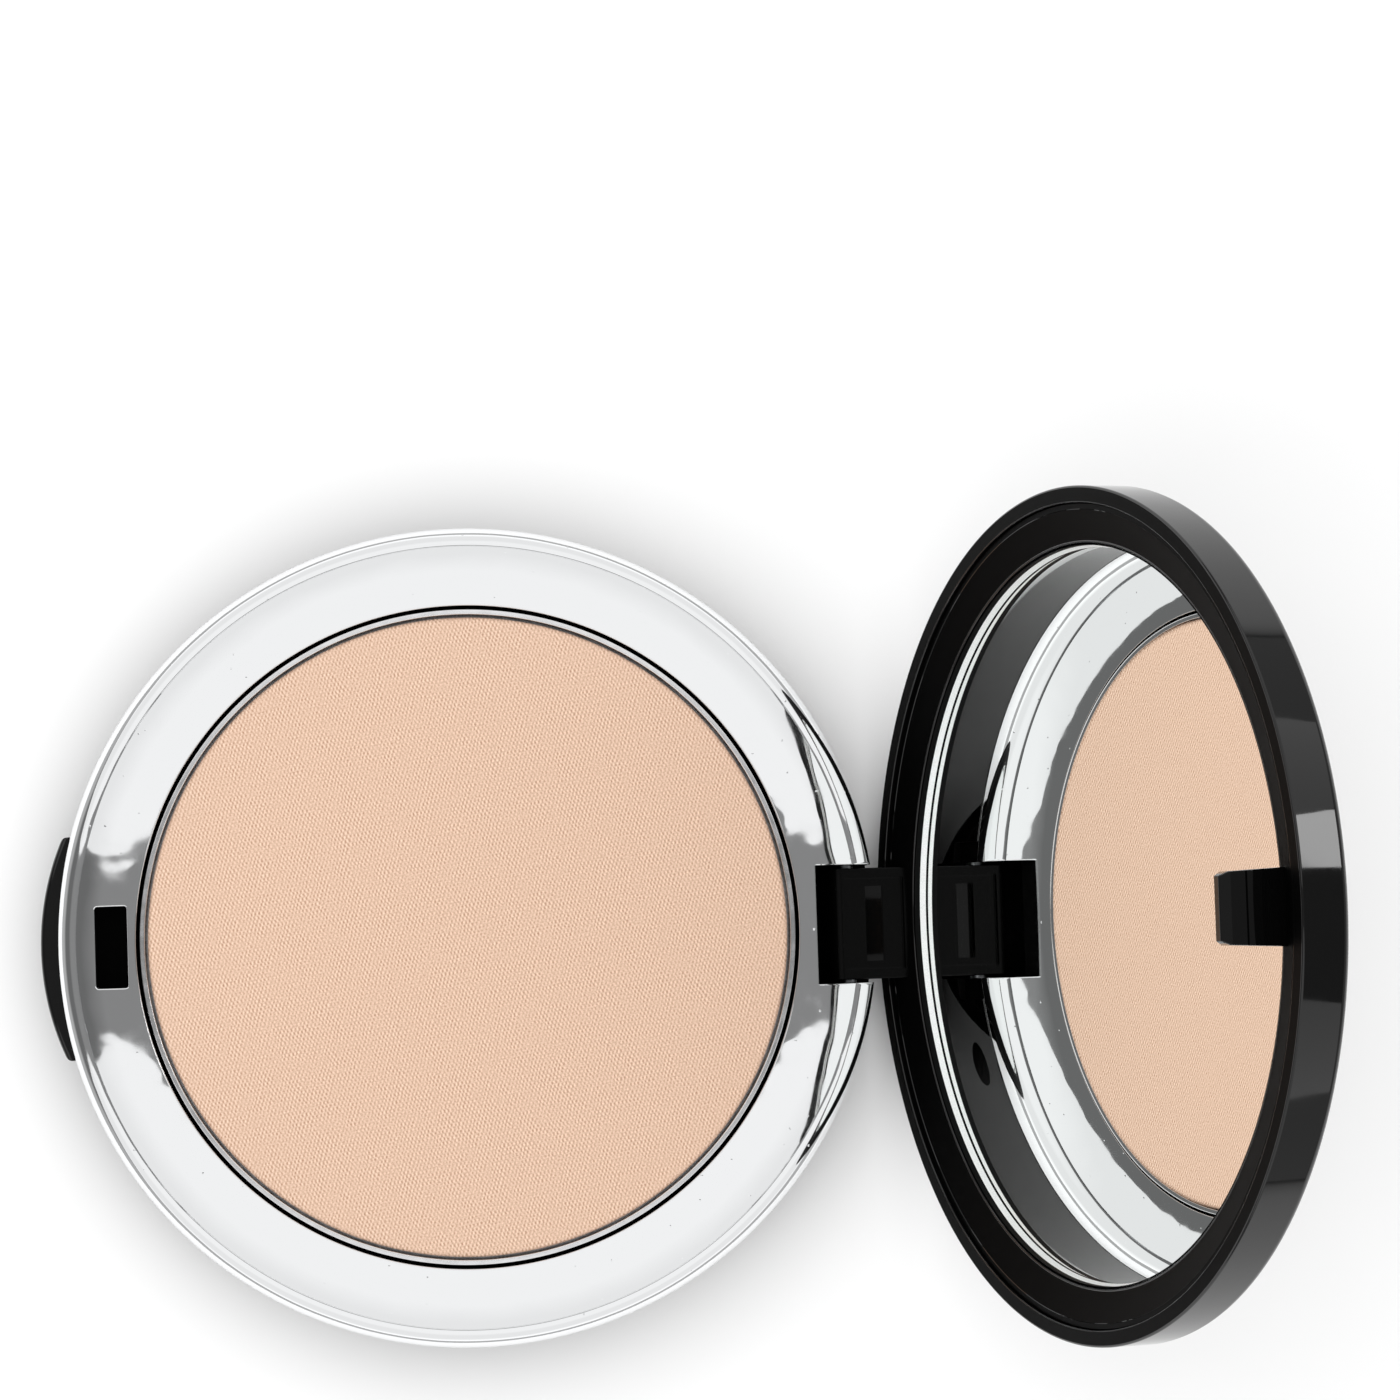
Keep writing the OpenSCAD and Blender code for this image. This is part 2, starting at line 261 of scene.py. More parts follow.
@dataclass(frozen=True)
class SatinBlackAbs:
    """Black ABS moulded in a tool with a fine spark-eroded grain.

    The eye gets a very dark, soft surface that hardly mirrors anything.
    """

    name: str = "satin_black_abs"
    colour: str = "#030303"
    roughness: float = 0.42
    specular: float = 0.04
    grain_mm: float = 0.12
    grain_height_mm: float = 0.004

    def material(self) -> bpy.types.Material:
        """Builds the material."""
        material, shader = start_material(
            self.name, Base_Color=linear(self.colour), Roughness=self.roughness,
            Specular_IOR_Level=self.specular)
        tree = material.node_tree
        grain = add_node(tree, "ShaderNodeTexNoise", None, {
            "Vector": place_in_mm(tree), "Scale": 1 / self.grain_mm, "Detail": 2.0})
        bump = add_node(tree, "ShaderNodeBump", None, {
            "Height": grain.outputs[0], "Distance": self.grain_height_mm * MM})
        tree.links.new(bump.outputs[0], shader.inputs["Normal"])
        return material


@dataclass(frozen=True)
class PressedPowder:
    """Talc and mica powder pressed under a woven cloth.

    The eye gets a soft matt peach with the print of the cloth: rows of short dashes
    a third of a millimetre apart, faded where the cloth slipped, over a fine grain.
    The colour is painted darker where the print and the grain sink and lighter where
    they stand up: painted shade in their hollows and painted light on their crests.
    The grains themselves are far finer than the grain_mm they are drawn at.
    """

    # shade and light are painted shade in the hollows of the print and grain and painted light on
    # their crests
    shade: str = "#AB866E"
    light: str = "#EED1BB"
    tones: Span = (0.15, 0.85)
    roughness: float = 0.95
    specular: float = 0.1
    thread_mm: float = 0.36
    turn: float = -11.0
    slip_mm: float = 0.25
    drift_mm: float = 1.1
    drift_limits: Span = (0.35, 0.6)
    print_kept: Span = (0.45, 1.0)
    print_height: float = 0.3
    grain_mm: float = 0.16
    grain_roughness: float = 0.65
    emboss_mm: float = 0.035

    def material(self) -> bpy.types.Material:
        """Builds the material."""
        material, shader = start_material("pressed_powder", Roughness=self.roughness,
                                          Specular_IOR_Level=self.specular)
        tree = material.node_tree
        place = place_in_mm(tree, self.turn)
        drift = add_node(tree, "ShaderNodeTexNoise", None, {
            "Vector": place, "Scale": 1 / self.drift_mm, "Detail": 2.0})
        moved = add_node(tree, "ShaderNodeVectorMath", {"operation": "MULTIPLY_ADD"}, {
            0: drift.outputs["Color"], 1: (self.slip_mm, self.slip_mm, 0.0), 2: place})
        weave = self._weave(tree, moved.outputs[0])
        faded = ramp(tree, drift.outputs[0], self.drift_limits, self.print_kept)
        print_depth = add_node(tree, "ShaderNodeMath", {"operation": "MULTIPLY"}, {
            0: weave, 1: faded}).outputs[0]
        grain = add_node(tree, "ShaderNodeTexNoise", None, {
            "Vector": place, "Scale": 1 / self.grain_mm, "Detail": 3.0,
            "Roughness": self.grain_roughness})
        height = add_node(tree, "ShaderNodeMath", {"operation": "MULTIPLY_ADD"}, {
            0: print_depth, 1: self.print_height, 2: grain.outputs[0]}).outputs[0]
        bump = add_node(tree, "ShaderNodeBump", None, {
            "Height": height, "Distance": self.emboss_mm * MM, "Strength": 1.0})
        # painted shade and light: the colour follows the emboss height, darker in its hollows and
        # lighter on its crests
        tone = add_node(tree, "ShaderNodeMix", {"data_type": "RGBA"}, {
            "Factor": ramp(tree, height, self.tones),
            "A": linear(self.shade), "B": linear(self.light)})
        tree.links.new(tone.outputs["Result"], shader.inputs["Base Color"])
        tree.links.new(bump.outputs[0], shader.inputs["Normal"])
        return material

    def _weave(self, tree: bpy.types.NodeTree,
               place: bpy.types.NodeSocket) -> bpy.types.NodeSocket:
        """Draws short dashes in rows, each row half a dash on from the last.

        Args:
            tree: Node tree to add to.
            place: Coordinates in millimetres.

        Returns:
            A socket that goes from -1 between the dashes to 1 on them.
        """
        apart = add_node(tree, "ShaderNodeSeparateXYZ", None, {0: place})
        rate = 2 * math.pi / self.thread_mm
        waves = []
        for name, pace in (("X", rate), ("Y", rate / 2)):
            angle = add_node(tree, "ShaderNodeMath", {"operation": "MULTIPLY"}, {
                0: apart.outputs[name], 1: pace})
            waves.append(add_node(tree, "ShaderNodeMath", {"operation": "COSINE"}, {
                0: angle.outputs[0]}).outputs[0])
        return add_node(tree, "ShaderNodeMath", {"operation": "MULTIPLY"}, {
            0: waves[0], 1: waves[1]}).outputs[0]


@dataclass(frozen=True)
class DrawnAluminium:
    """Thin aluminium drawn into a pan.

    The eye gets a bright metal with marks that run around it. The real marks are finer,
    and half a millimetre apart is as fine as they show.
    """

    tint: str = "#E9E9EA"
    roughness: Span = (0.098, 0.196)
    patches: Span = (0.3, 0.7)
    patch_mm: float = 1.43
    ring_mm: float = 0.503
    ring_height_mm: float = 0.001

    def material(self) -> bpy.types.Material:
        """Builds the material."""
        material, shader = start_material("drawn_aluminium", Metallic=1.0,
                                          Base_Color=linear(self.tint))
        tree = material.node_tree
        place = place_in_mm(tree)
        # at a scale of 1 the node's rings are a tenth of pi apart
        rings = add_node(tree, "ShaderNodeTexWave", {
            "wave_type": "RINGS", "rings_direction": "Z"}, {
            "Vector": place, "Scale": math.pi / 10 / self.ring_mm, "Distortion": 1.5,
            "Detail": 2.0})
        bump = add_node(tree, "ShaderNodeBump", None, {
            "Height": rings.outputs[1], "Distance": self.ring_height_mm * MM})
        stain = add_node(tree, "ShaderNodeTexNoise", None, {
            "Vector": place, "Scale": 1 / self.patch_mm})
        rough = ramp(tree, stain.outputs[0], self.patches, self.roughness)
        tree.links.new(rough, shader.inputs["Roughness"])
        tree.links.new(bump.outputs[0], shader.inputs["Normal"])
        return material


@dataclass(frozen=True)
class DrawnSteel:
    """Bright drawn steel wire and strip.

    The eye gets a grey metal with fine lines along Y, the way it was drawn.
    """

    tint: str = "#A9ABAE"
    roughness: Span = (0.24, 0.39)
    patches: Span = (0.3, 0.7)
    line_mm: float = 0.05
    line_length_mm: float = 2.5
    line_height_mm: float = 0.002

    def material(self) -> bpy.types.Material:
        """Builds the material."""
        material, shader = start_material("drawn_steel", Metallic=1.0,
                                          Base_Color=linear(self.tint))
        tree = material.node_tree
        place = place_in_mm(tree)
        stretched = add_node(tree, "ShaderNodeMapping", None, {
            "Vector": place,
            "Scale": (1 / self.line_mm, 1 / self.line_length_mm, 1 / self.line_mm)})
        lines = add_node(tree, "ShaderNodeTexNoise", None, {
            "Vector": stretched.outputs[0], "Scale": 1.0, "Detail": 3.0})
        bump = add_node(tree, "ShaderNodeBump", None, {
            "Height": lines.outputs[0], "Distance": self.line_height_mm * MM})
        rough = ramp(tree, lines.outputs[0], self.patches, self.roughness)
        tree.links.new(rough, shader.inputs["Roughness"])
        tree.links.new(bump.outputs[0], shader.inputs["Normal"])
        return material


@dataclass(frozen=True)
class SilveredGlass:
    """Silver behind clear glass.

    The eye gets a true mirror, a trace green from the glass, with the faintest
    smear of handling.
    """

    tint: str = "#FCFEFD"
    roughness: Span = (0.004, 0.02)
    patches: Span = (0.45, 0.85)
    smear_mm: float = 8.33

    def material(self) -> bpy.types.Material:
        """Builds the material."""
        material, shader = start_material("silvered_glass", Metallic=1.0,
                                          Base_Color=linear(self.tint))
        tree = material.node_tree
        smear = add_node(tree, "ShaderNodeTexNoise", None, {
            "Vector": place_in_mm(tree), "Scale": 1 / self.smear_mm, "Detail": 4.0})
        rough = ramp(tree, smear.outputs[0], self.patches, self.roughness)
        tree.links.new(rough, shader.inputs["Roughness"])
        return material


@dataclass(frozen=True)
class GroundGlass:
    """Edge of a glass disc after grinding.

    The eye gets a bright frosted band, because the grit leaves the edge white.
    """

    shade: str = "#D9DEDC"
    colour: str = "#F4F6F5"
    tones: Span = (0.3, 0.6)
    roughness: float = 0.35
    ior: float = 1.52
    grit_mm: float = 0.08
    grit_height_mm: float = 0.004

    def material(self) -> bpy.types.Material:
        """Builds the material."""
        material, shader = start_material("ground_glass", Roughness=self.roughness,
                                          IOR=self.ior)
        tree = material.node_tree
        grit = add_node(tree, "ShaderNodeTexNoise", None, {
            "Vector": place_in_mm(tree), "Scale": 1 / self.grit_mm, "Detail": 3.0})
        tone = add_node(tree, "ShaderNodeMix", {"data_type": "RGBA"}, {
            "Factor": ramp(tree, grit.outputs[0], self.tones),
            "A": linear(self.shade), "B": linear(self.colour)})
        bump = add_node(tree, "ShaderNodeBump", None, {
            "Height": grit.outputs[0], "Distance": self.grit_height_mm * MM})
        tree.links.new(tone.outputs["Result"], shader.inputs["Base Color"])
        tree.links.new(bump.outputs[0], shader.inputs["Normal"])
        return material


@dataclass(frozen=True)
class CoatedPaper:
    """Semi-matt coated paper of a blank label.

    The eye gets off-white with a faint cloud of fibres.
    """

    name: str = "coated_paper"
    colour: str = "#E9E8E4"
    fibre: str = "#DCDAD3"
    roughness: float = 0.6
    fibre_mm: float = 0.5
    fibre_height_mm: float = 0.006
    tones: Span = (0.35, 0.65)

    def material(self) -> bpy.types.Material:
        """Builds the material."""
        material, shader = start_material(self.name, Roughness=self.roughness)
        tree = material.node_tree
        fibres = add_node(tree, "ShaderNodeTexNoise", None, {
            "Vector": place_in_mm(tree), "Scale": 1 / self.fibre_mm, "Detail": 5.0,
            "Distortion": 1.2})
        tone = add_node(tree, "ShaderNodeMix", {"data_type": "RGBA"}, {
            "Factor": ramp(tree, fibres.outputs[0], self.tones),
            "A": linear(self.fibre), "B": linear(self.colour)})
        bump = add_node(tree, "ShaderNodeBump", None, {
            "Height": fibres.outputs[0], "Distance": self.fibre_height_mm * MM})
        tree.links.new(tone.outputs["Result"], shader.inputs["Base Color"])
        tree.links.new(bump.outputs[0], shader.inputs["Normal"])
        return material


class Finishes:
    """Every material of the compact, made once each."""

    def __init__(self) -> None:
        """Makes the materials."""
        self.chrome = MetallisedAbs().material()
        self.gloss = GlossBlackAbs().material()
        self.satin = SatinBlackAbs().material()
        self.sheen = SatinBlackAbs("sheen_black_abs", roughness=0.2, specular=0.12).material()
        self.raw = SatinBlackAbs("raw_black_abs", "#060606", roughness=0.6,
                                 specular=0.1).material()
        self.powder = PressedPowder().material()
        self.pan = DrawnAluminium().material()
        self.steel = DrawnSteel().material()
        self.silver = SilveredGlass().material()
        self.ground = GroundGlass().material()
        self.paper = CoatedPaper().material()
        self.tape = CoatedPaper("tissue_tape", "#E2DECB", "#CFCAB4", roughness=0.85,
                                fibre_mm=0.8).material()


# -------------------------------------------------------------------- mesh building


def arc(centre: Point, radius: float, start: float, end: float, steps: int = 10) -> list[Point]:
    """Points along an arc.

    Args:
        centre: Centre of the arc.
        radius: Its radius.
        start: Angle of the first point, in degrees from the outward direction.
        end: Angle of the last point.
        steps: Number of straight stretches between them.

    Returns:
        The points, both ends among them.
    """
    angles = [math.radians(start + (end - start) * i / steps) for i in range(steps + 1)]
    return [(centre[0] + radius * math.cos(a), centre[1] + radius * math.sin(a))
            for a in angles]


@dataclass
class Stretch:
    """A smooth stretch of a turned outline.

    Attributes:
        points: Radius and height of each point.
        finish: Material of the surface that it turns into.
    """

    points: list[Point]
    finish: bpy.types.Material

    def normals(self) -> list[Point]:
        """Returns the outward direction at each point, on the right of the way it runs."""
        flat = []
        for (r0, z0), (r1, z1) in zip(self.points, self.points[1:]):
            size = math.hypot(r1 - r0, z1 - z0)
            flat.append(((z1 - z0) / size, (r0 - r1) / size))
        inner = [(a[0] + b[0], a[1] + b[1]) for a, b in zip(flat, flat[1:])]
        first, last = flat[0], flat[-1]
        if len(flat) > 1:
            first = self._half_past(flat[0], flat[1])
            last = self._half_past(flat[-1], flat[-2])
        ways = (first, *inner, last)
        return [(x / math.hypot(x, z), z / math.hypot(x, z)) for x, z in ways]

    @staticmethod
    def _half_past(near: Point, far: Point) -> Point:
        """Returns what lies half a step before the near direction, away from the far one."""
        return (1.5 * near[0] - 0.5 * far[0], 1.5 * near[1] - 0.5 * far[1])


@dataclass
class Turned:
    """A turned solid: its outline is closed, or begins and ends on the axis.

    Attributes:
        stretches: Smooth stretches of the outline, each beginning where the last ends,
            with the solid on the left of the way they run.
        segments: Number of straight sides around.
        reach: A face's middle lies nearer than this to the stretch that it belongs to.
        agree: Cosine of the largest angle between that face and the stretch.
    """

    stretches: list[Stretch]
    segments: int = 512
    reach: float = 0.02
    agree: float = 0.97

    def outline(self) -> tuple[list[Point], list[int]]:
        """Returns the outline's points, and the stretch that each point begins."""
        points: list[Point] = []
        owner: list[int] = []
        for i, stretch in enumerate(self.stretches):
            for point in stretch.points[:-1]:
                points.append(point)
                owner.append(i)
        if math.dist(self.stretches[-1].points[-1], points[0]) > SAME_POINT:
            points.append(self.stretches[-1].points[-1])
        return points, owner

    def mesh(self, name: str) -> bpy.types.Mesh:
        """Builds the mesh, in millimetres.

        Args:
            name: Name of the mesh.

        Returns:
            The mesh, with a material for each stretch.
        """
        points, owner = self.outline()
        verts: list[tuple[float, float, float]] = []
        rings: list[list[int]] = []
        turns = [2 * math.pi * k / self.segments for k in range(self.segments)]
        for r, z in points:
            first = len(verts)
            if r < SAME_POINT:
                verts.append((0.0, 0.0, z))
                rings.append([first])
                continue
            verts.extend((r * math.cos(t), r * math.sin(t), z) for t in turns)
            rings.append(list(range(first, first + self.segments)))
        finishes = list(dict.fromkeys(s.finish for s in self.stretches))
        faces: list[list[int]] = []
        slots: list[int] = []
        for i, stretch in enumerate(owner):
            low, high = rings[i], rings[(i + 1) % len(rings)]
            for k in range(self.segments):
                n = (k + 1) % self.segments
                if len(low) == 1:
                    face = [low[0], high[n], high[k]]
                elif len(high) == 1:
                    face = [low[k], low[n], high[0]]
                else:
                    face = [low[k], low[n], high[n], high[k]]
                faces.append(face)
                slots.append(finishes.index(self.stretches[stretch].finish))
        mesh = bpy.data.meshes.new(name)
        mesh.from_pydata(verts, [], faces)
        for finish in finishes:
            mesh.materials.append(finish)
        mesh.polygons.foreach_set("material_index", slots)
        return mesh

    def true_normals(self, mesh: bpy.types.Mesh, normals: np.ndarray) -> None:
        """Overwrites corner normals where a face lies on the turned surface.

        Args:
            mesh: Mesh in millimetres, cut or not.
            normals: One row for each corner, changed in place.
        """
        place = np.empty(len(mesh.vertices) * 3)
        mesh.vertices.foreach_get("co", place)
        place = place.reshape(-1, 3)
        corner = np.empty(len(mesh.loops), int)
        mesh.loops.foreach_get("vertex_index", corner)
        counts = np.empty(len(mesh.polygons), int)
        facing = np.empty(len(mesh.polygons) * 3)
        mesh.polygons.foreach_get("loop_total", counts)
        mesh.polygons.foreach_get("normal", facing)
        facing = facing.reshape(-1, 3)
        flat = np.stack([np.hypot(place[:, 0], place[:, 1]), place[:, 2]], 1)
        face_of = np.repeat(np.arange(len(counts)), counts)
        middle = np.stack([np.bincount(face_of, flat[corner, i]) for i in (0, 1)], 1)
        middle /= counts[:, None]
        centre = np.stack([np.bincount(face_of, place[corner, i]) for i in (0, 1)], 1)
        away = np.hypot(centre[:, 0], centre[:, 1])
        away[away == 0] = 1
        tilt = np.stack([(facing[:, :2] * centre).sum(1) / away, facing[:, 2]], 1)
        best = np.full(len(counts), self.reach)
        found = np.zeros((4, len(counts), 2))
        start, end, start_way, end_way = found
        hit = np.zeros(len(counts), bool)
        for stretch in self.stretches:
            ways = stretch.normals()
            for i, (a, b) in enumerate(zip(stretch.points, stretch.points[1:])):
                a, b = np.array(a), np.array(b)
                run = b - a
                t = np.clip(((middle - a) @ run) / (run @ run), 0, 1)
                gap = np.linalg.norm(middle - (a + t[:, None] * run), axis=1)
                own = np.array([run[1], -run[0]]) / np.linalg.norm(run)
                good = (gap < best) & (tilt @ own > self.agree)
                best[good] = gap[good]
                hit |= good
                for row, value in zip(found, (a, b, ways[i], ways[i + 1])):
                    row[good] = value
        use = hit[face_of]
        f = face_of[use]
        spot = flat[corner[use]]
        run = end[f] - start[f]
        t = np.clip(((spot - start[f]) * run).sum(1) / (run * run).sum(1), 0, 1)
        n = (1 - t[:, None]) * start_way[f] + t[:, None] * end_way[f]
        n /= np.linalg.norm(n, axis=1)[:, None]
        xy = place[corner[use]][:, :2]
        size = np.hypot(xy[:, 0], xy[:, 1])
        size[size < SAME_POINT] = 1
        normals[use] = np.concatenate([n[:, :1] * xy / size[:, None], n[:, 1:]], 1)


def prism(name: str, outline: Sequence[Point], low: float, high: float,
          axis: str = "z") -> bpy.types.Mesh:
    """Builds a straight solid from an outline.

    Args:
        name: Name of the mesh.
        outline: Corners, anticlockwise about the axis; for axis "y" they are x and z.
        low: Where it starts along the axis.
        high: Where it ends.
        axis: "z" or "y".

    Returns:
        The mesh in millimetres.
    """
    count = len(outline)
    if axis == "z":
        verts = [(a, b, h) for h in (low, high) for a, b in outline]
    else:
        verts = [(a, h, b) for h in (high, low) for a, b in outline]
    sides = [[i, (i + 1) % count, (i + 1) % count + count, i + count] for i in range(count)]
    faces = [list(range(count))[::-1], list(range(count, 2 * count)), *sides]
    mesh = bpy.data.meshes.new(name)
    mesh.from_pydata(verts, [], faces)
    return mesh


def block(name: str, low: Sequence[float], high: Sequence[float]) -> bpy.types.Mesh:
    """Builds a box given by its lowest and highest corners."""
    outline = [(low[0], low[1]), (high[0], low[1]), (high[0], high[1]), (low[0], high[1])]
    return prism(name, outline, low[2], high[2])


def bevelled(mesh: bpy.types.Mesh, width: float, steps: int = 3,
             pick: Callable[[bmesh.types.BMEdge], bool] | None = None) -> bpy.types.Mesh:
    """Rounds the edges of a simple solid.

    Args:
        mesh: Mesh to change.
        width: How far the rounding reaches from each edge.
        steps: Number of faces across it.
        pick: Says whether an edge is rounded; every folded edge is if it is left out.

    Returns:
        The same mesh.
    """
    work = bmesh.new()
    work.from_mesh(mesh)
    edges = [e for e in work.edges if len(e.link_faces) == 2
             and e.calc_face_angle(0) > math.radians(FOLD) and (pick is None or pick(e))]
    bmesh.ops.bevel(work, geom=edges, offset=width, offset_type="OFFSET", segments=steps,
                    profile=0.5, affect="EDGES", clamp_overlap=True)
    work.to_mesh(mesh)
    work.free()
    return mesh


class Join(Enum):
    """Ways to combine two solids."""

    CUT = "DIFFERENCE"
    WELD = "UNION"
    SHARE = "INTERSECT"


def combine(mesh: bpy.types.Mesh, others: Iterable[bpy.types.Mesh], how: Join,
            finish: bpy.types.Material | None = None) -> bpy.types.Mesh:
    """Cuts solids from a mesh, welds them to it, or keeps what they share.

    Args:
        mesh: The mesh to work on.
        others: The solids, which are used up.
        how: The way to combine them.
        finish: Material that the new faces take where a solid has none of its own.

    Returns:
        The new mesh.
    """
    host = bpy.data.objects.new("host", mesh)
    bpy.context.collection.objects.link(host)
    tools = []
    for other in others:
        if finish is not None and not any(other.materials):
            other.materials.clear()
            other.materials.append(finish)
        for own in filter(None, other.materials):
            if own.name not in host.data.materials:
                host.data.materials.append(own)
        tool = bpy.data.objects.new("tool", other)
        bpy.context.collection.objects.link(tool)
        tools.append(tool)
        step = host.modifiers.new("join", "BOOLEAN")
        step.operation = how.value
        step.solver = "EXACT"
        step.material_mode = "TRANSFER"
        step.object = tool
    graph = bpy.context.evaluated_depsgraph_get()
    made = bpy.data.meshes.new_from_object(host.evaluated_get(graph), depsgraph=graph)
    for spare in (*tools, host):
        bpy.data.objects.remove(spare)
    return made


@dataclass
class Maker:
    """Turns finished meshes into pieces that ride on the frame's bodies.

    Attributes:
        hinge: Place of the hinge axis, in millimetres.
        lid_open: Angle from the closed lid to the open stop.
    """

    hinge: Vector
    lid_open: float

    def open_pose(self) -> Matrix:
        """Returns the turn from the closed lid's place to the open stop, in millimetres."""
        turn = Matrix.Rotation(math.radians(self.lid_open), 4, "Y")
        return Matrix.Translation(self.hinge) @ turn @ Matrix.Translation(-self.hinge)

    @staticmethod
    def smooth_normals(mesh: bpy.types.Mesh) -> np.ndarray:
        """Returns corner normals that leave large faces flat and round the small ones."""
        holder = bpy.data.objects.new("holder", mesh)
        bpy.context.collection.objects.link(holder)
        weigh = holder.modifiers.new("weigh", "WEIGHTED_NORMAL")
        weigh.keep_sharp = True
        weigh.weight = 100
        seen = holder.evaluated_get(bpy.context.evaluated_depsgraph_get()).data
        normals = np.empty(len(mesh.loops) * 3, np.float32)
        seen.corner_normals.foreach_get("vector", normals)
        bpy.data.objects.remove(holder)
        return normals.reshape(-1, 3).astype(float)

    def piece(self, name: str, mesh: bpy.types.Mesh, body: Body, slot: Slot,
              nodes: Sequence[str], turned: Sequence[Turned] = (),
              sharp: float = 35.0) -> bpy.types.Object:
        """Makes one piece.

        Args:
            name: Name of the piece.
            mesh: Its mesh in millimetres, drawn closed if it belongs to the lid.
            body: Body that it rides on.
            slot: The record's material slot; not used.
            nodes: CAD nodes that it stands for.
            turned: Turned solids whose true normals its faces take.
            sharp: Edges with a larger angle stay sharp.

        Returns:
            The piece.
        """
        mesh.name = name
        mesh.validate()
        mesh.shade_smooth()
        mesh.set_sharp_from_angle(angle=math.radians(sharp))
        normals = self.smooth_normals(mesh)
        for solid in turned:
            solid.true_normals(mesh, normals)
        place = Matrix.Scale(MM, 4)
        if body is Body.LID:
            pose = self.open_pose()
            place = place @ pose
            normals = normals @ np.array(pose.to_3x3()).T
        mesh.transform(place)
        mesh.normals_split_custom_set(normals.tolist())
        piece = bpy.data.objects.new(name, mesh)
        bpy.context.collection.objects.link(piece)
        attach(piece, body.value)
        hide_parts(*nodes)
        LOG.info("%s: %d faces on %s for %s", name, len(mesh.polygons), body.value,
                 ", ".join(nodes))
        return piece


# --------------------------------------------------------------------------- pieces


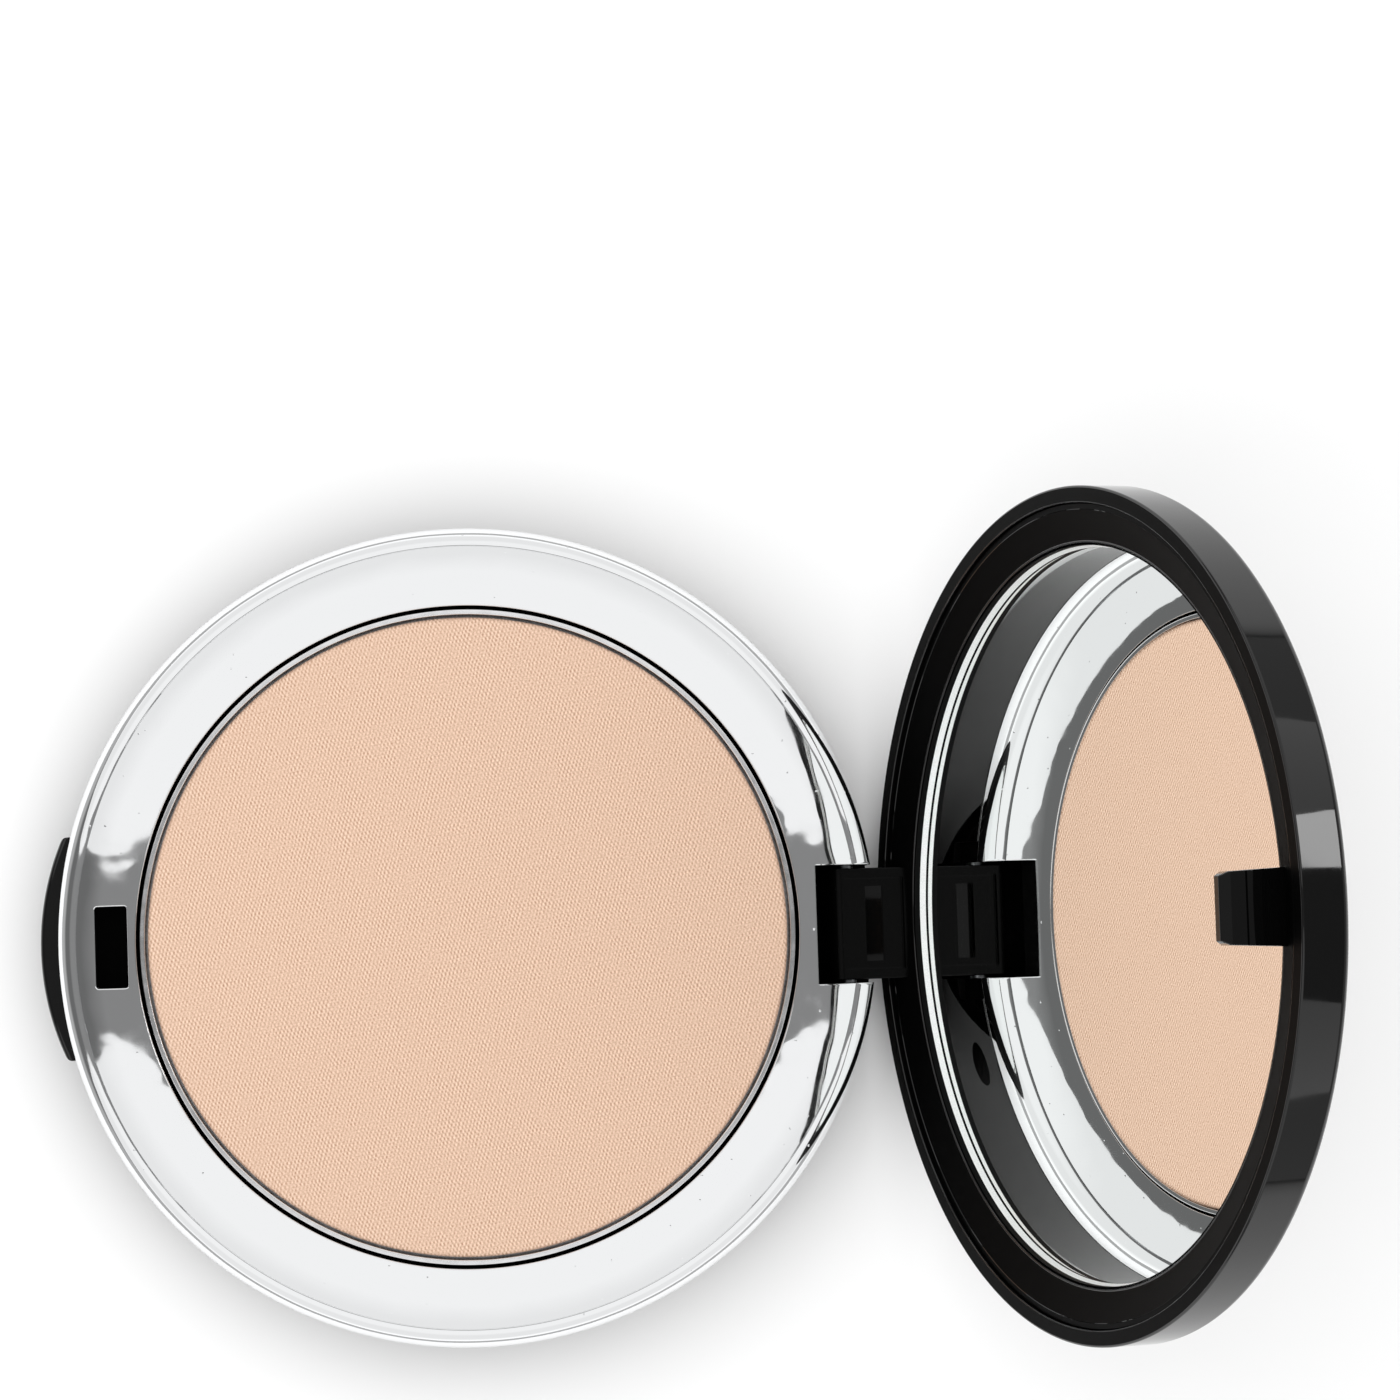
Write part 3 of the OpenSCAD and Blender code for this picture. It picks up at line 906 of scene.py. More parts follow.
@dataclass
class Base:
    """Base: black lower shell, bright domed ring with the lip, and the label.

    Sizes match the frame's solids; levels are heights above the resting face. Beyond its
    round mouth a cutter goes on by mouth_past, sideways and up, as shares of the round.
    """

    finishes: Finishes
    maker: Maker
    radius: float = 38.0
    lip_z: float = 10.0
    lip_round: float = 1.7
    foot_round: float = 1.5
    wall: float = 1.7
    floor: float = 1.2
    label_r: float = 26.0
    label_t: float = 0.15
    label_gap: float = 0.05
    label_edge: float = 0.05
    notch_half: float = 5.485
    notch_x: float = 32.29
    notch_floor_z: float = 3.1
    lug_half: float = 2.13
    seat_z: float = 7.9
    seat_chamfer: float = 0.15
    ear_w: float = 3.1
    ear_x: float = 33.6
    ear_sunk: float = 0.2
    ear_overlap: float = 0.5
    ear_shy: float = 0.05
    pocket_x: float = 36.5
    pocket_w: float = 1.95
    pocket_z: float = 4.98
    window_half: float = 10.45
    window_z: float = 2.6
    pin_r: float = 0.8
    dome_top_z: float = 11.0
    dome_r0: float = 29.88
    dome_arc: float = 19.5
    well_r: float = 30.6
    well_wall: float = 0.75
    well_floor_z: float = 5.4
    well_floor_t: float = 0.9
    plate_z: float = 9.0
    crease_w: float = 0.1
    crease_depth: float = 0.3
    corner: float = 0.06
    crown_steps: int = 48
    edge_round: float = 0.15
    slot_out: float = 34.34
    slot_w: float = 2.95
    slot_half: float = 3.74
    slot_corner: float = 0.25
    slot_step: float = 0.6
    notch_steps: int = 12
    mouth_steps: int = 5
    mouth_past: Point = (1.4, 0.2)

    def build(self) -> None:
        """Builds every piece of the base."""
        self.shell()
        self.ring()
        self.label()

    @property
    def cavity_r(self) -> float:
        """Inner radius of the shell's side wall."""
        return self.radius - self.wall

    def dome(self, r: float) -> float:
        """Returns the height of the ring's crowned top at a radius."""
        low = self.dome_top_z - math.sqrt(
            self.dome_arc**2 - (self.well_r + 0.3 - self.dome_r0) ** 2)
        return low + math.sqrt(self.dome_arc**2 - (r - self.dome_r0) ** 2)

    def stop_z(self, x: float) -> float:
        """Returns the height of the sloping stop behind the hinge at a given x."""
        turn = math.radians(self.maker.lid_open)
        hinge = self.maker.hinge
        return hinge.z + (math.cos(turn) * (x - hinge.x) - self.lug_half) / math.sin(turn)

    def stop_x(self, z: float) -> float:
        """Returns where the sloping stop is at a given height."""
        turn = math.radians(self.maker.lid_open)
        hinge = self.maker.hinge
        return hinge.x + (math.sin(turn) * (z - hinge.z) + self.lug_half) / math.cos(turn)

    def notch(self, name: str) -> bpy.types.Mesh:
        """Returns the solid that the hinge notch takes out of the shell."""
        out = self.radius + PAST
        top = self.dome_top_z + PAST
        outline = [(self.notch_x, top), (self.notch_x, self.notch_floor_z),
                   (self.stop_x(self.notch_floor_z), self.notch_floor_z),
                   (out, self.stop_z(out)), (out, top)]
        return prism(name, outline, -self.notch_half, self.notch_half, "y")

    def shell(self) -> None:
        """Builds the lower shell: a turned cup, cut for the hinge and the button."""
        gloss, raw = self.finishes.gloss, self.finishes.raw
        r, foot, inside = self.radius, self.foot_round, self.cavity_r
        label_r, seat = self.label_r + self.label_gap, self.seat_z
        chamfer = self.seat_chamfer
        turned = Turned([
            Stretch([(0, self.label_t), (label_r, self.label_t)], gloss),
            Stretch([(label_r, self.label_t), (label_r, 0)], gloss),
            Stretch([(label_r, 0), (r - foot, 0)], gloss),
            Stretch(arc((r - foot, foot), foot, -90, 0, 14), gloss),
            Stretch([(r, foot), (r, seat - chamfer)], gloss),
            Stretch([(r, seat - chamfer), (r - chamfer, seat)], gloss),
            Stretch([(r - chamfer, seat), (inside, seat)], raw),
            Stretch([(inside, seat), (inside, self.floor)], raw),
            Stretch([(inside, self.floor), (0, self.floor)], raw)])
        mesh = turned.mesh("lower_shell")
        hinge, above = self.maker.hinge, self.dome_top_z
        cuts = [self.notch("notch")]
        for side in (-1, 1):
            ys = sorted((side * (self.notch_half - PAST),
                         side * (self.notch_half + self.pocket_w)))
            cuts.append(block("pocket", (self.pocket_x, ys[0], self.pocket_z),
                              (r + PAST, ys[1], above)))
        half = self.window_half
        cuts.append(block("window", (-r - PAST, -half, self.window_z),
                          (-inside + PAST, half, above)))
        outline = arc((hinge.x, hinge.z), self.pin_r, 0, 360, 48)[:-1]
        cuts.append(prism("pin_hole", outline, -r, 0, "y"))
        mesh = combine(mesh, cuts, Join.CUT, raw)
        mesh = combine(mesh, self.ears(), Join.WELD, raw)
        self.maker.piece("lower_shell", mesh, Body.BASE, Slot.BLACK, ["base_shell"], [turned])

    def ears(self) -> list[bpy.types.Mesh]:
        """Returns the hinge ears, whose upper parts stay inside the bright ring."""
        low, seat = self.floor - self.ear_sunk, self.seat_z
        shy, out = self.ear_shy, self.cavity_r - self.crease_w
        ears = []
        for side in (-1, 1):
            ys = sorted((side * self.notch_half, side * (self.notch_half + self.ear_w)))
            ears.append(block("ear", (self.ear_x, ys[0], low),
                              (self.pocket_x - shy, ys[1], seat - shy)))
            plan = [(self.ear_x, ys[0]), *((math.sqrt(out**2 - y**2), y) for y in ys),
                    (self.ear_x, ys[1])]
            ears.append(prism("ear_top", plan, seat - self.ear_overlap, self.plate_z))
        return ears

    def ring(self) -> None:
        """Builds the bright ring: flange, crease and lip, cut for the hook and the lug."""
        chrome, raw = self.finishes.chrome, self.finishes.raw
        r, lip, edge = self.radius, self.lip_round, self.edge_round
        inside, low, floor_t = self.cavity_r, self.well_floor_z, self.well_floor_t
        wall_r, corner, steps = self.well_r + self.well_wall, self.corner, self.crown_steps
        start, finish = self.well_r + edge, inside - self.crease_w - corner
        crown = [start + (finish - start) * i / steps for i in range(steps + 1)]
        well_top = self.dome(start) - edge
        bend = self.dome(finish) - corner
        pit = self.lip_z - self.crease_depth
        turned = Turned([
            Stretch([(0, low), (wall_r, low)], raw),
            Stretch([(wall_r, low), (wall_r, self.plate_z)], raw),
            Stretch([(wall_r, self.plate_z), (inside, self.plate_z)], raw),
            Stretch([(inside, self.plate_z), (inside, self.seat_z)], raw),
            Stretch([(inside, self.seat_z), (r - corner, self.seat_z)], chrome),
            Stretch(arc((r - corner, self.seat_z + corner), corner, -90, 0, 4), chrome),
            Stretch([(r, self.seat_z + corner), (r, self.lip_z - lip)], chrome),
            Stretch(arc((r - lip, self.lip_z - lip), lip, 0, 90, 24), chrome),
            Stretch([(inside, self.lip_z), (inside, pit)], chrome),
            Stretch([(inside, pit), (inside - self.crease_w, pit)], chrome),
            Stretch([(inside - self.crease_w, pit), (inside - self.crease_w, bend)], chrome),
            Stretch(arc((finish, bend), corner, 0, 72, 4), chrome),
            Stretch([(x, self.dome(x)) for x in reversed(crown)], chrome),
            Stretch(arc((start, well_top), edge, 94, 180, 8), chrome),
            Stretch([(self.well_r, well_top), (self.well_r, low + floor_t)], raw),
            Stretch([(self.well_r, low + floor_t), (0, low + floor_t)], raw)])
        mesh = turned.mesh("domed_ring")
        mesh = combine(mesh, [self.flared_slot(), self.flared_notch()], Join.CUT, raw)
        self.maker.piece("domed_ring", mesh, Body.BASE, Slot.METALLISED,
                         ["base_deck"], [turned])

    def top_z(self, r: float) -> float:
        """Returns the height of the ring's upper side at a radius, lip and all."""
        if r < self.cavity_r:
            return self.dome(r)
        past = min(r - self.cavity_r, self.lip_round)
        return self.lip_z - self.lip_round + math.sqrt(self.lip_round**2 - past**2)

    def flared(self, name: str, outline: list[tuple[Point, Point]], low: float) -> bpy.types.Mesh:
        """Builds a cutter whose mouth flares, so that it leaves a rounded edge.

        Args:
            name: Name of the mesh.
            outline: Each corner's place and the direction away from the hole there.
            low: Level that the cutter goes down to.

        Returns:
            The cutter.
        """
        flare = self.edge_round
        past, above = (flare * share for share in self.mouth_past)
        loops: list[tuple[float, float | None]] = [(0.0, None)]
        for step in range(self.mouth_steps + 1):
            a = math.radians(75 * step / self.mouth_steps)
            loops.append((flare * (1 - math.cos(a)), flare * (math.sin(a) - 1)))
        loops += [(past, above), (past, PAST)]
        verts = []
        for away, rise in loops:
            for (x, y), (nx, ny) in outline:
                px, py = x + away * nx, y + away * ny
                if rise is None:
                    verts.append((px, py, low))
                    continue
                verts.append((px, py, self.top_z(math.hypot(px, py)) + rise))
        count = len(outline)
        faces = [list(range(count))[::-1]]
        for i in range(len(loops) - 1):
            for k in range(count):
                n = (k + 1) % count
                a, b = i * count, (i + 1) * count
                faces.append([a + k, a + n, b + n, b + k])
        faces.append([(len(loops) - 1) * count + k for k in range(count)])
        mesh = bpy.data.meshes.new(name)
        mesh.from_pydata(verts, [], faces)
        mesh.materials.append(self.finishes.raw)
        mesh.materials.append(self.finishes.chrome)
        mesh.polygons.foreach_set("material_index", [int(i > count) for i in range(len(faces))])
        return mesh

    def flared_slot(self) -> bpy.types.Mesh:
        """Returns the cutter for the latch slot, with small round corners."""
        c = self.slot_corner
        x0, x1 = -self.slot_out, -self.slot_out + self.slot_w
        y1 = self.slot_half
        outline: list[tuple[Point, Point]] = []
        corners = [((x1 - c, y1 - c), 0), ((x0 + c, y1 - c), 90),
                   ((x0 + c, -y1 + c), 180), ((x1 - c, -y1 + c), 270)]
        for centre, start in corners:
            for x, y in arc(centre, c, start, start + 90, 5):
                away = ((x - centre[0]) / c, (y - centre[1]) / c)
                outline.append(((x, y), away))
        dense: list[tuple[Point, Point]] = []
        for (p, n), (q, m) in zip(outline, outline[1:] + outline[:1]):
            parts = max(1, round(math.dist(p, q) / self.slot_step))
            for i in range(parts):
                t = i / parts
                dense.append((
                    (p[0] + (q[0] - p[0]) * t, p[1] + (q[1] - p[1]) * t),
                    n if i == 0 else (n[0] + (m[0] - n[0]) * t, n[1] + (m[1] - n[1]) * t)))
        return self.flared("slot", dense, self.plate_z - PAST)

    def flared_notch(self) -> bpy.types.Mesh:
        """Returns the cutter for the hinge notch in the ring."""
        half = self.notch_half
        far = self.radius + PAST
        steps = self.notch_steps
        outline: list[tuple[Point, Point]] = []
        across = [self.notch_x + (far - self.notch_x) * i / steps for i in range(steps + 1)]
        up = [-half + 2 * half * i / steps for i in range(steps + 1)]
        outline += [((x, -half), (-1.0 if x == across[0] else 0.0, -1.0)) for x in across]
        outline += [((far, y), (0.0, 0.0)) for y in up[1:-1]]
        outline += [((x, half), (-1.0 if x == across[0] else 0.0, 1.0))
                    for x in reversed(across)]
        outline += [((self.notch_x, y), (-1.0, 0.0)) for y in reversed(up[1:-1])]
        return self.flared("ring_notch", outline, self.well_floor_z - PAST)

    def label(self) -> None:
        """Builds the blank label in the underside."""
        paper = self.finishes.paper
        r, t, edge = self.label_r, self.label_t, self.label_edge
        turned = Turned([
            Stretch([(0, 0), (r - edge, 0)], paper),
            Stretch(arc((r - edge, edge), edge, -90, 0, 3), paper),
            Stretch([(r, edge), (r, t)], paper),
            Stretch([(r, t), (0, t)], paper)], segments=256)
        self.maker.piece("underside_label", turned.mesh("underside_label"), Body.BASE,
                         Slot.LABEL, ["base_label"], [turned])


@dataclass
class PowderPan:
    """Aluminium pan and the powder pressed into it."""

    finishes: Finishes
    maker: Maker
    floor_z: float = 6.5
    radius: float = 30.3
    height: float = 4.2
    wall: float = 0.5
    rim_corner: float = 0.12
    powder_r: float = 29.15
    powder_edge: float = 0.4
    powder_z: float = 10.4

    def build(self) -> None:
        """Builds the pan and the powder."""
        self.pan()
        self.powder()

    def pan(self) -> None:
        """Builds the pan with its rounded rim."""
        metal = self.finishes.pan
        r, low, wall, rim = self.radius, self.floor_z, self.wall, self.rim_corner
        top = low + self.height - rim
        turned = Turned([
            Stretch([(0, low), (r - wall, low)], metal),
            Stretch(arc((r - wall, low + wall), wall, -90, 0, 8), metal),
            Stretch([(r, low + wall), (r, top)], metal),
            Stretch(arc((r - rim, top), rim, 0, 90, 8), metal),
            Stretch([(r - rim, top + rim), (r - wall + rim, top + rim)], metal),
            Stretch(arc((r - wall + rim, top), rim, 90, 180, 8), metal),
            Stretch([(r - wall, top), (r - wall, low + wall)], metal),
            Stretch([(r - wall, low + wall), (0, low + wall)], metal)])
        self.maker.piece("pan", turned.mesh("pan"), Body.BASE, Slot.PAN,
                         ["powder_pan"], [turned])

    def powder(self) -> None:
        """Builds the powder, with a soft broken edge."""
        cake = self.finishes.powder
        low, top, r = self.floor_z + self.wall, self.powder_z, self.powder_r
        edge = self.powder_edge
        turned = Turned([
            Stretch([(0, low), (r + edge, low)], cake),
            Stretch([(r + edge, low), (r + edge, top - edge)], cake),
            Stretch(arc((r, top - edge), edge, 0, 90, 8), cake),
            Stretch([(r, top), (r / 2, top), (0, top)], cake)])
        self.maker.piece("powder", turned.mesh("powder"), Body.BASE, Slot.POWDER,
                         ["powder_cake"], [turned])


@dataclass
class Lid:
    """Black lid: outer cover, inner frame with lug and hook, and the mirror.

    Depths count from the rim's plane into the lid, and the lid is drawn closed. The lug
    has a small round in front and a larger one behind, where it leans in between two
    heights about the rim. The panel's margins are to the lug's foot and past the rim. Each
    corner of the window is a depth into the lug and a height above the rim. The hook's
    tip and taper are a width and a height.
    """

    finishes: Finishes
    maker: Maker
    rim_z: float = 10.1
    radius: float = 37.6
    height: float = 4.7
    crown: float = 0.5
    crown_steps: int = 24
    top_round: float = 0.8
    rim_w: float = 1.5
    rim_round: float = 0.2
    rim_inner_round: float = 0.12
    cover_gap: float = 0.05
    glass_gap: float = 0.1
    bead: float = 0.14
    ledge_w: float = 0.55
    ledge_depth: float = 0.35
    ledge_corner: float = 0.05
    mirror_r: float = 32.5
    mirror_t: float = 1.8
    mirror_depth: float = 1.35
    pad_t: float = 0.2
    glass_ior: float = 1.52
    glass_edge: float = 0.1
    bevel: float = 0.3
    edge_hidden: float = 0.55
    paint_w: float = 0.12
    lug_w: float = 10.4
    lug_half: float = 2.1
    lug_rounds: Span = (0.8, 1.2)
    lug_corner: float = 0.12
    lug_shy: float = 0.4
    lug_lean: Span = (-0.2, 0.45)
    pin_hole_r: float = 0.85
    panel_w: float = 8.6
    panel_depth: float = 0.3
    panel_margins: Span = (0.9, 0.7)
    window: tuple[Point, ...] = ((0.2, -3.2), (0.75, -3.2), (0.45, -1.4), (0.2, -1.4))
    window_half: float = 3.5
    hook_len: float = 5.4
    hook_w: float = 6.0
    hook_t: float = 1.1
    hook_gap: float = 0.2
    hook_corner: float = 0.1
    hook_tip: Point = (0.3, 0.6)
    hook_tip_out: float = 0.05
    hook_root_w: float = 0.25
    hook_taper: Point = (0.35, 0.7)
    barb: float = 0.45
    barb_levels: tuple[float, float, float] = (0.8, 2.3, 2.6)

    def build(self) -> None:
        """Builds every piece of the lid."""
        self.cover()
        self.frame()
        self.mirror()

    @property
    def inner_r(self) -> float:
        """Radius of the inside of the rim."""
        return self.radius - self.rim_w

    @property
    def plate_depth(self) -> float:
        """Depth of the cover's inner face."""
        return self.mirror_depth + self.mirror_t + self.pad_t

    def lifted(self, points: Iterable[Point]) -> list[Point]:
        """Returns points with depth turned into height in the closed lid."""
        return [(r, self.rim_z + depth) for r, depth in points]

    def cover(self) -> None:
        """Builds the outer cover: rim, side and crowned top."""
        gloss, satin = self.finishes.gloss, self.finishes.satin
        r, h, rim, top = self.radius, self.height, self.rim_round, self.top_round
        inner, edge = self.inner_r, self.rim_inner_round
        shares = [i / self.crown_steps for i in range(self.crown_steps, -1, -1)]
        crown = [((r - top) * share, h + self.crown * (1 - share**2)) for share in shares]
        turned = Turned([
            Stretch(self.lifted([(0, self.plate_depth), (inner, self.plate_depth)]), satin),
            Stretch(self.lifted([(inner, self.plate_depth), (inner, edge)]), satin),
            Stretch(self.lifted(arc((inner + edge, edge), edge, 180, 270, 6)), gloss),
            Stretch(self.lifted([(inner + edge, 0), (r - rim, 0)]), satin),
            Stretch(self.lifted(arc((r - rim, rim), rim, -90, 0, 8)), gloss),
            Stretch(self.lifted([(r, rim), (r, h - top)]), gloss),
            Stretch(self.lifted(arc((r - top, h - top), top, 0, 90, 14)), gloss),
            Stretch(self.lifted(crown), gloss)])
        self.maker.piece("lid_outer", turned.mesh("lid_outer"), Body.LID, Slot.BLACK,
                         ["lid_cover"], [turned])

    def frame(self) -> None:
        """Builds the inner frame: a ring around the glass, the lug and the hook."""
        satin, gloss = self.finishes.satin, self.finishes.gloss
        seat, out = self.mirror_r + self.glass_gap, self.inner_r - self.cover_gap
        ledge, top, corner = out - self.ledge_w, self.ledge_depth, self.ledge_corner
        bead = arc((seat + self.bead, self.mirror_depth), self.bead, 180, 300, 8)
        outline = [
            ([(seat, self.plate_depth), bead[0]], satin),
            (bead, gloss),
            ([bead[-1], (ledge, top + corner)], satin),
            ([(ledge, top + corner), (ledge + corner, top)], gloss),
            ([(ledge + corner, top), (out - corner, top)], satin),
            ([(out - corner, top), (out, top + corner)], satin),
            ([(out, top + corner), (out, self.plate_depth)], satin),
            ([(out, self.plate_depth), (seat, self.plate_depth)], satin)]
        turned = Turned([Stretch(self.lifted(points), finish) for points, finish in outline])
        mesh = turned.mesh("lid_inner")
        mesh = combine(mesh, [self.lug(), self.hook()], Join.WELD, satin)
        self.maker.piece("lid_inner", mesh, Body.LID, Slot.BLACK, ["lid_frame"], [turned])

    def lug(self) -> bpy.types.Mesh:
        """Returns the hinge lug with its bore, its sunk panel and a small window."""
        hinge = self.maker.hinge
        half, width = self.lug_half, self.lug_w / 2
        inner, outer = self.lug_rounds
        low, high = self.panel_margins
        top = self.rim_z + self.mirror_depth
        points = [(hinge.x - half, top)]
        points += arc((hinge.x - half + inner, hinge.z - half + inner), inner, 180, 270, 6)
        points += arc((hinge.x + half - outer, hinge.z - half + outer), outer, 270, 360, 8)
        # the outer face leans in at the rim, so that it stays inside the frame's ring
        reach = self.inner_r - self.lug_shy
        points += [(hinge.x + half, self.rim_z + self.lug_lean[0]),
                   (reach, self.rim_z + self.lug_lean[1]), (reach, top)]
        mesh = bevelled(prism("lug", points, -width, width, "y"), self.lug_corner, 2,
                        self._across_y)
        bore = prism("bore", arc((hinge.x, hinge.z), self.pin_hole_r, 0, 360, 48)[:-1],
                     -width - PAST, width + PAST, "y")
        front = hinge.x - half
        panel = block("panel", (front - PAST, -self.panel_w / 2, hinge.z - half + low),
                      (front + self.panel_depth, self.panel_w / 2, self.rim_z + high))
        corners = [(front + depth, self.rim_z + level) for depth, level in self.window]
        window = prism("window", corners, -self.window_half, self.window_half, "y")
        mesh.materials.append(self.finishes.sheen)
        window.materials.append(self.finishes.gloss)
        return combine(mesh, [bore, bevelled(panel, self.lug_corner, 2), window], Join.CUT,
                       self.finishes.sheen)

    @staticmethod
    def _across_y(edge: bmesh.types.BMEdge) -> bool:
        """Says whether an edge lies in a plane of constant Y."""
        a, b = (v.co for v in edge.verts)
        return abs((b - a).normalized().y) < 0.01

    def hook(self) -> bpy.types.Mesh:
        """Returns the latch hook: shank, barb and tapered tip."""
        inside = -(self.mirror_r + self.hook_gap)
        out = inside - self.hook_t
        barb_x = out - self.barb
        root = self.hook_len + self.mirror_depth
        tip = self.rim_z - self.hook_len
        b0, b1, b2 = self.barb_levels
        side = [(inside, root), (inside, self.hook_tip[1]), (inside - self.hook_tip[0], 0),
                (out + self.hook_tip_out, 0), (barb_x, b0), (barb_x, b1), (out, b2), (out, root)]
        side = [(x, z + tip) for x, z in reversed(side)]
        half = self.hook_w / 2
        narrow, wide = half - self.hook_taper[0], half + self.hook_root_w
        blade = prism("hook", side, -wide, wide, "y")
        rise = tip + self.hook_taper[1]
        taper = [(-narrow, tip), (narrow, tip), (half, rise),
                 (wide, tip + root), (-wide, tip + root), (-half, rise)]
        front = prism("taper", taper, out - PAST, inside + PAST)
        front.transform(Matrix(((0, 0, 1, 0), (1, 0, 0, 0), (0, 1, 0, 0), (0, 0, 0, 1))))
        blade.materials.append(self.finishes.gloss)
        made = combine(blade, [front], Join.SHARE, self.finishes.gloss)
        return bevelled(made, self.hook_corner, 2)

    def mirror(self) -> None:
        """Builds the mirror.

        The glass is clear, so the eye sees its silver and its ground edge through it,
        lifted to their apparent depth. The dish that they make stands for the glass.
        """
        silver, ground, paint = self.finishes.silver, self.finishes.ground, self.finishes.raw
        r, front, edge = self.mirror_r, self.mirror_depth, self.glass_edge
        seen, back = front + self.mirror_t / self.glass_ior, front + self.mirror_t
        foot, lip = seen - self.paint_w, front + self.edge_hidden
        bevel_r, edge_r = r - self.bevel, r - edge
        outline = [
            ([(0, seen), (bevel_r, seen)], silver),
            ([(bevel_r, seen), (bevel_r, foot)], paint),
            ([(bevel_r, foot), (edge_r, lip)], ground),
            ([(edge_r, lip), (edge_r, front)], paint),
            ([(edge_r, front), (r, front + edge)], paint),
            ([(r, front + edge), (r, back)], ground),
            ([(r, back), (0, back)], ground)]
        turned = Turned([Stretch(self.lifted(points), finish) for points, finish in outline])
        self.maker.piece("mirror", turned.mesh("mirror"), Body.LID, Slot.MIRROR,
                         ["mirror_glass"], [turned])


@dataclass
class Button:
    """Push button: a curved face on a flange that stays inside the shell."""

    finishes: Finishes
    maker: Maker
    width: float = 20.7
    height: float = 5.0
    mid_z: float = 5.2
    face: float = 39.6
    face_arc: float = 25.0
    face_round: float = 0.55
    face_clear: float = 0.3
    flange_w: float = 24.8
    flange_h: float = 6.0
    flange_in: float = 35.5
    flange_out: float = 36.1

    def build(self) -> None:
        """Builds the button from its plan, then rounds the edges of its face."""
        gloss = self.finishes.gloss
        half = self.width / 2
        centre = self.face_arc - self.face
        reach = math.degrees(math.asin(half / self.face_arc))
        front = arc((centre, 0), self.face_arc, 180 - reach, 180 + reach, 48)
        inner = math.degrees(math.asin(half / self.flange_in))
        back = arc((0, 0), self.flange_in, 180 + inner, 180 - inner, 48)
        z0 = self.mid_z - self.height / 2
        face = prism("face", front + back, z0, z0 + self.height)
        face = bevelled(face, self.face_round, 6, self._outside)
        span = math.degrees(math.asin(self.flange_w / 2 / self.flange_out))
        plan = arc((0, 0), self.flange_out, 180 - span, 180 + span, 64)
        plan += arc((0, 0), self.flange_in, 180 + span, 180 - span, 64)
        z0 = self.mid_z - self.flange_h / 2
        flange = prism("flange", plan, z0, z0 + self.flange_h)
        mesh = combine(face, [flange], Join.WELD, gloss)
        mesh.materials.clear()
        mesh.materials.append(gloss)
        mesh.polygons.foreach_set("material_index", [0] * len(mesh.polygons))
        self.maker.piece("button", mesh, Body.BUTTON, Slot.BLACK, ["push_button"])

    def _outside(self, edge: bmesh.types.BMEdge) -> bool:
        """Says whether an edge borders the part of the face that stands out of the shell."""
        clear = self.flange_out + self.face_clear
        return all(math.hypot(v.co.x, v.co.y) > clear for v in edge.verts)


@dataclass
class HiddenParts:
    """Parts inside the compact, which keep their CAD shape and get a finish."""

    finishes: Finishes

    def dress(self) -> None:
        """Assigns the finishes."""
        dressing = {"hinge_pin": self.finishes.steel, "button_spring": self.finishes.steel,
                    "pan_adhesive": self.finishes.tape, "mirror_adhesive": self.finishes.tape}
        for node, finish in dressing.items():
            part = frame["nodes"][node]
            part.data.materials.clear()
            part.data.materials.append(finish)
            LOG.info("%s keeps its shape, in %s", node, finish.name)


# --------------------------------------------------------------------------- studio


class Outline(Enum):
    """Outlines of a softbox."""

    ROUND = "ELLIPSE"
    SQUARE = "RECTANGLE"


@dataclass(frozen=True)
class Softbox:
    """A softbox that faces straight down.

    Attributes:
        name: Name of the light.
        shape: Its outline.
        centre: Its place in metres.
        size: Its width and depth in metres.
        radiance: How bright its face is, where 1 is a white that fills the picture.
        mirrored: Whether shiny surfaces show it.
    """

    name: str
    shape: Outline
    centre: tuple[float, float, float]
    size: tuple[float, float]
    radiance: float
    mirrored: bool = True

    def hang(self) -> None:
        """Makes the light."""
        light = bpy.data.lights.new(self.name, "AREA")
        light.shape = self.shape.value
        light.size, light.size_y = self.size
        share = math.pi / 4 if self.shape is Outline.ROUND else 1.0
        area = self.size[0] * self.size[1] * share
        light.energy = self.radiance * math.pi * area
        lamp = bpy.data.objects.new(self.name, light)
        lamp.location = self.centre
        lamp.visible_glossy = self.mirrored
        bpy.context.collection.objects.link(lamp)


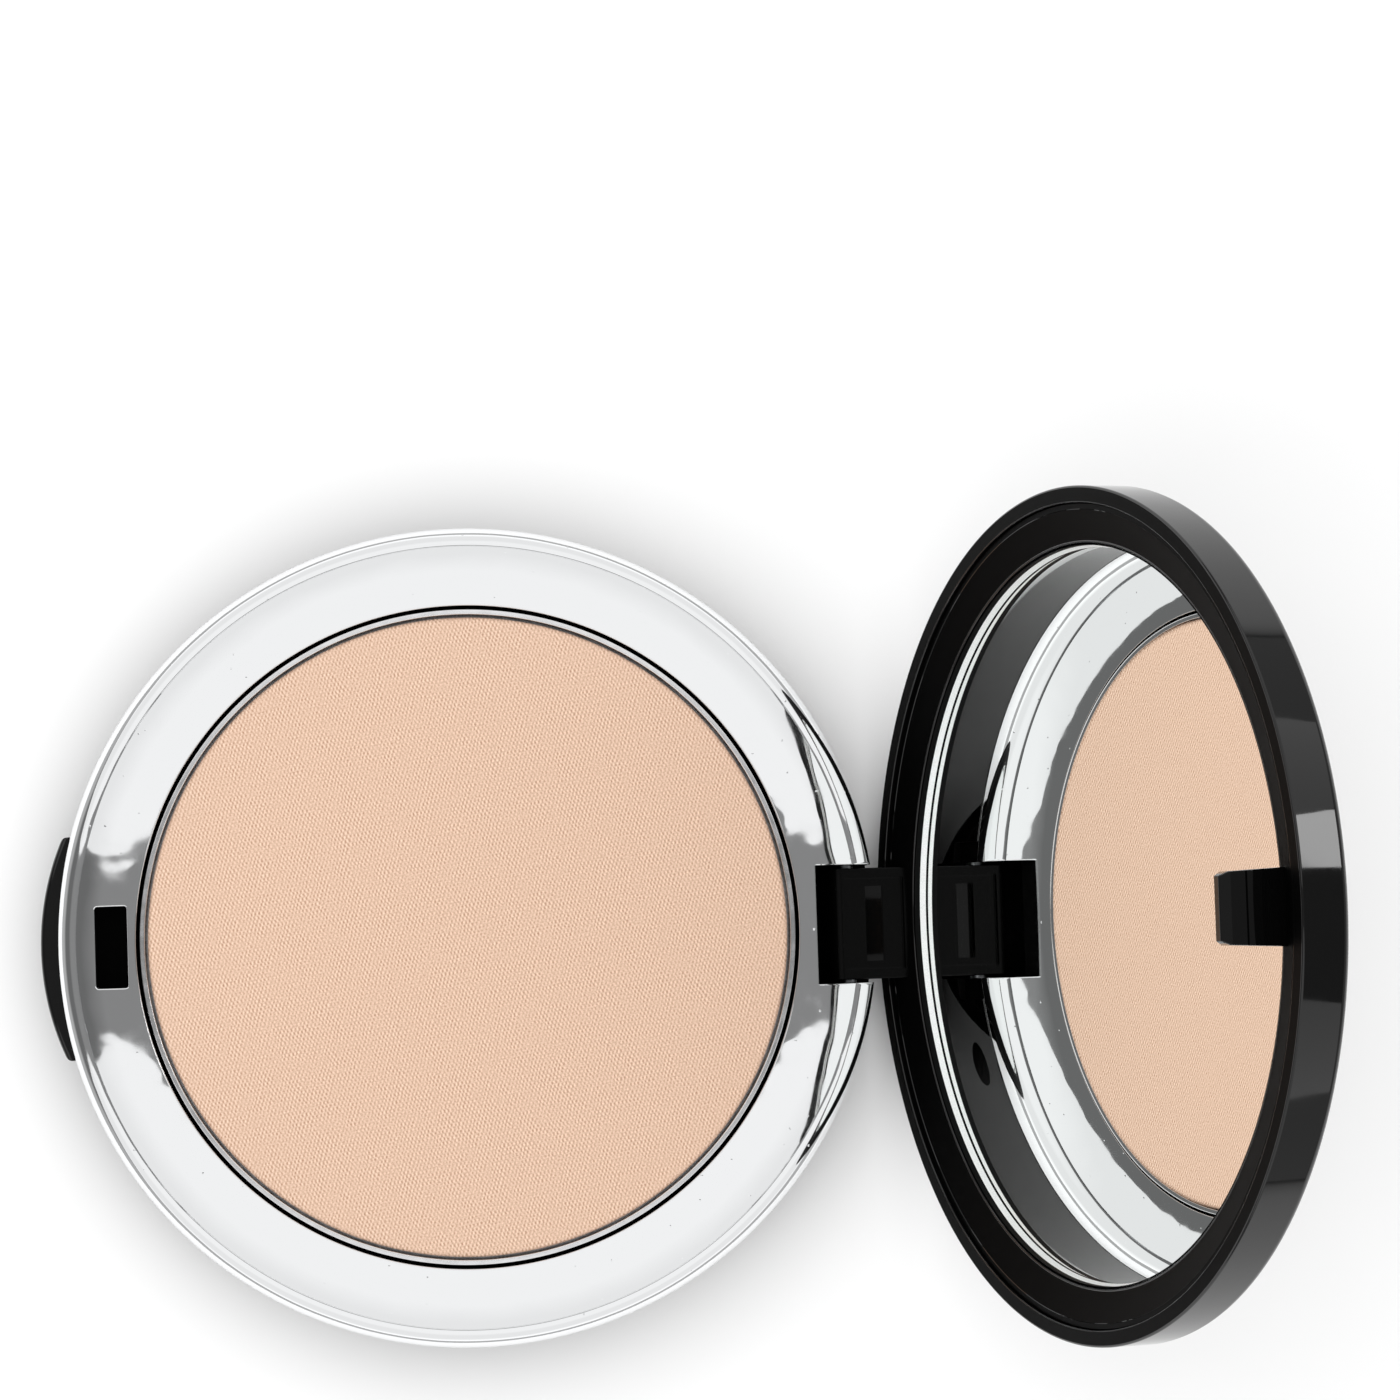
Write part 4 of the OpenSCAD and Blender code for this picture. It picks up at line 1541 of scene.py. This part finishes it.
@dataclass
class Studio:
    """Pale floor, softboxes with a grey gap between the two round ones, and the camera.

    Sizes of the lights are given for a height of one metre. Each pair of levels says
    where one grey of the room turns to the next, from 0 on the horizon to 1 overhead.
    """

    room_high: float = 0.25
    room_mid: float = 0.15
    room_low: float = 0.45
    high_levels: Span = (0.78, 0.88)
    low_levels: Span = (0.3, 0.5)
    floor_shade: str = "#EDEDED"
    floor_light: str = "#F2F2F2"
    floor_roughness: float = 0.8
    floor_reach: float = 6.0
    floor_drop: float = 0.0001
    tooth_mm: float = 50.0
    lamp_height: float = 0.8
    lamp_across: float = 4.4
    lamp_gap: float = 0.07
    lamp_radiance: float = 0.73
    strip_at: tuple[float, float] = (1.45, 0.45)
    strip_size: tuple[float, float] = (0.2, 0.42)
    strip_radiance: float = 7.0
    fill_across: float = 3.0
    fill_height: float = 0.98
    fill_radiance: float = 0.8
    camera_at: tuple[float, float, float] = (-1.218, -1.997, 454.507)
    camera_turn: tuple[float, float, float] = (0.0522, -0.0524, -0.0297)
    lens: float = 123.25
    sensor: float = 36.0
    clip: Span = (0.01, 20.0)

    def build(self) -> None:
        """Builds the floor, the lights and the camera."""
        self.floor()
        self.lights()
        self.camera()

    def floor(self) -> None:
        """Lays a seamless pale floor."""
        mesh = bpy.data.meshes.new("floor")
        reach = self.floor_reach
        corners = [(-reach, -reach, 0), (reach, -reach, 0), (reach, reach, 0), (-reach, reach, 0)]
        mesh.from_pydata(corners, [], [[0, 1, 2, 3]])
        material, shader = start_material("backdrop_card", Roughness=self.floor_roughness,
                                          Specular_IOR_Level=0.0)
        tree = material.node_tree
        tooth = add_node(tree, "ShaderNodeTexNoise", None, {
            "Vector": place_in_mm(tree), "Scale": 1 / self.tooth_mm, "Detail": 2.0})
        tone = add_node(tree, "ShaderNodeMix", {"data_type": "RGBA"}, {
            "Factor": tooth.outputs[0], "A": linear(self.floor_shade),
            "B": linear(self.floor_light)})
        tree.links.new(tone.outputs["Result"], shader.inputs["Base Color"])
        mesh.materials.append(material)
        floor = bpy.data.objects.new("floor", mesh)
        floor.location.z = -self.floor_drop
        bpy.context.collection.objects.link(floor)

    def lights(self) -> None:
        """Hangs the softboxes and fills the room with grey."""
        h, across = self.lamp_height, self.lamp_across
        for side, name in ((-1, "softbox_front"), (1, "softbox_back")):
            y = side * (self.lamp_gap + across / 2)
            Softbox(name, Outline.ROUND, (0.0, y * h, h), (across * h, across * h),
                    self.lamp_radiance).hang()
        Softbox("strip", Outline.SQUARE, (self.strip_at[0] * h, self.strip_at[1] * h, h),
                (self.strip_size[0] * h, self.strip_size[1] * h), self.strip_radiance).hang()
        fill = self.fill_across * h
        Softbox("fill", Outline.ROUND, (0.0, 0.0, self.fill_height * h), (fill, fill),
                self.fill_radiance, mirrored=False).hang()
        self.room()

    def room(self) -> None:
        """Makes the room's grey: darkest halfway up, lighter overhead and low down."""
        world = bpy.data.worlds.new("room")
        world.use_nodes = True
        tree = world.node_tree
        back = tree.nodes["Background"]
        back.inputs["Color"].default_value = (1, 1, 1, 1)
        way = add_node(tree, "ShaderNodeTexCoord")
        rise = add_node(tree, "ShaderNodeSeparateXYZ", None, {0: way.outputs["Generated"]})
        above = ramp(tree, rise.outputs["Z"], self.high_levels, (self.room_mid, self.room_high))
        below = ramp(tree, rise.outputs["Z"], self.low_levels,
                     (self.room_low - self.room_mid, 0.0))
        grey = add_node(tree, "ShaderNodeMath", {"operation": "ADD"}, {0: above, 1: below})
        tree.links.new(grey.outputs[0], back.inputs["Strength"])
        bpy.context.scene.world = world

    def camera(self) -> None:
        """Places the camera, which looks down on the open compact."""
        data = bpy.data.cameras.new("camera")
        data.lens = self.lens
        data.sensor_width = self.sensor
        data.clip_start, data.clip_end = self.clip
        eye = bpy.data.objects.new("camera", data)
        eye.location = [c * MM for c in self.camera_at]
        eye.rotation_mode = "ZYX"
        eye.rotation_euler = self.camera_turn
        bpy.context.collection.objects.link(eye)
        bpy.context.scene.camera = eye
        bpy.context.scene.view_settings.view_transform = "Standard"


def find_joint(name: str) -> dict:
    """Returns the frame's joint of that name."""
    return next(j for j in frame["joints"] if j["name"] == name)


def main() -> None:
    """Builds the compact around the frame, then the studio."""
    logging.basicConfig(level=logging.INFO, format="%(name)s: %(message)s")
    hinge = find_joint("lid_hinge")
    maker = Maker(Vector(hinge["pos_m"]) / MM, -min(hinge["range_deg"]))
    finishes = Finishes()
    Base(finishes, maker).build()
    PowderPan(finishes, maker).build()
    Button(finishes, maker).build()
    Lid(finishes, maker).build()
    HiddenParts(finishes).dress()
    Studio().build()


if __name__ == "__main__":
    main()
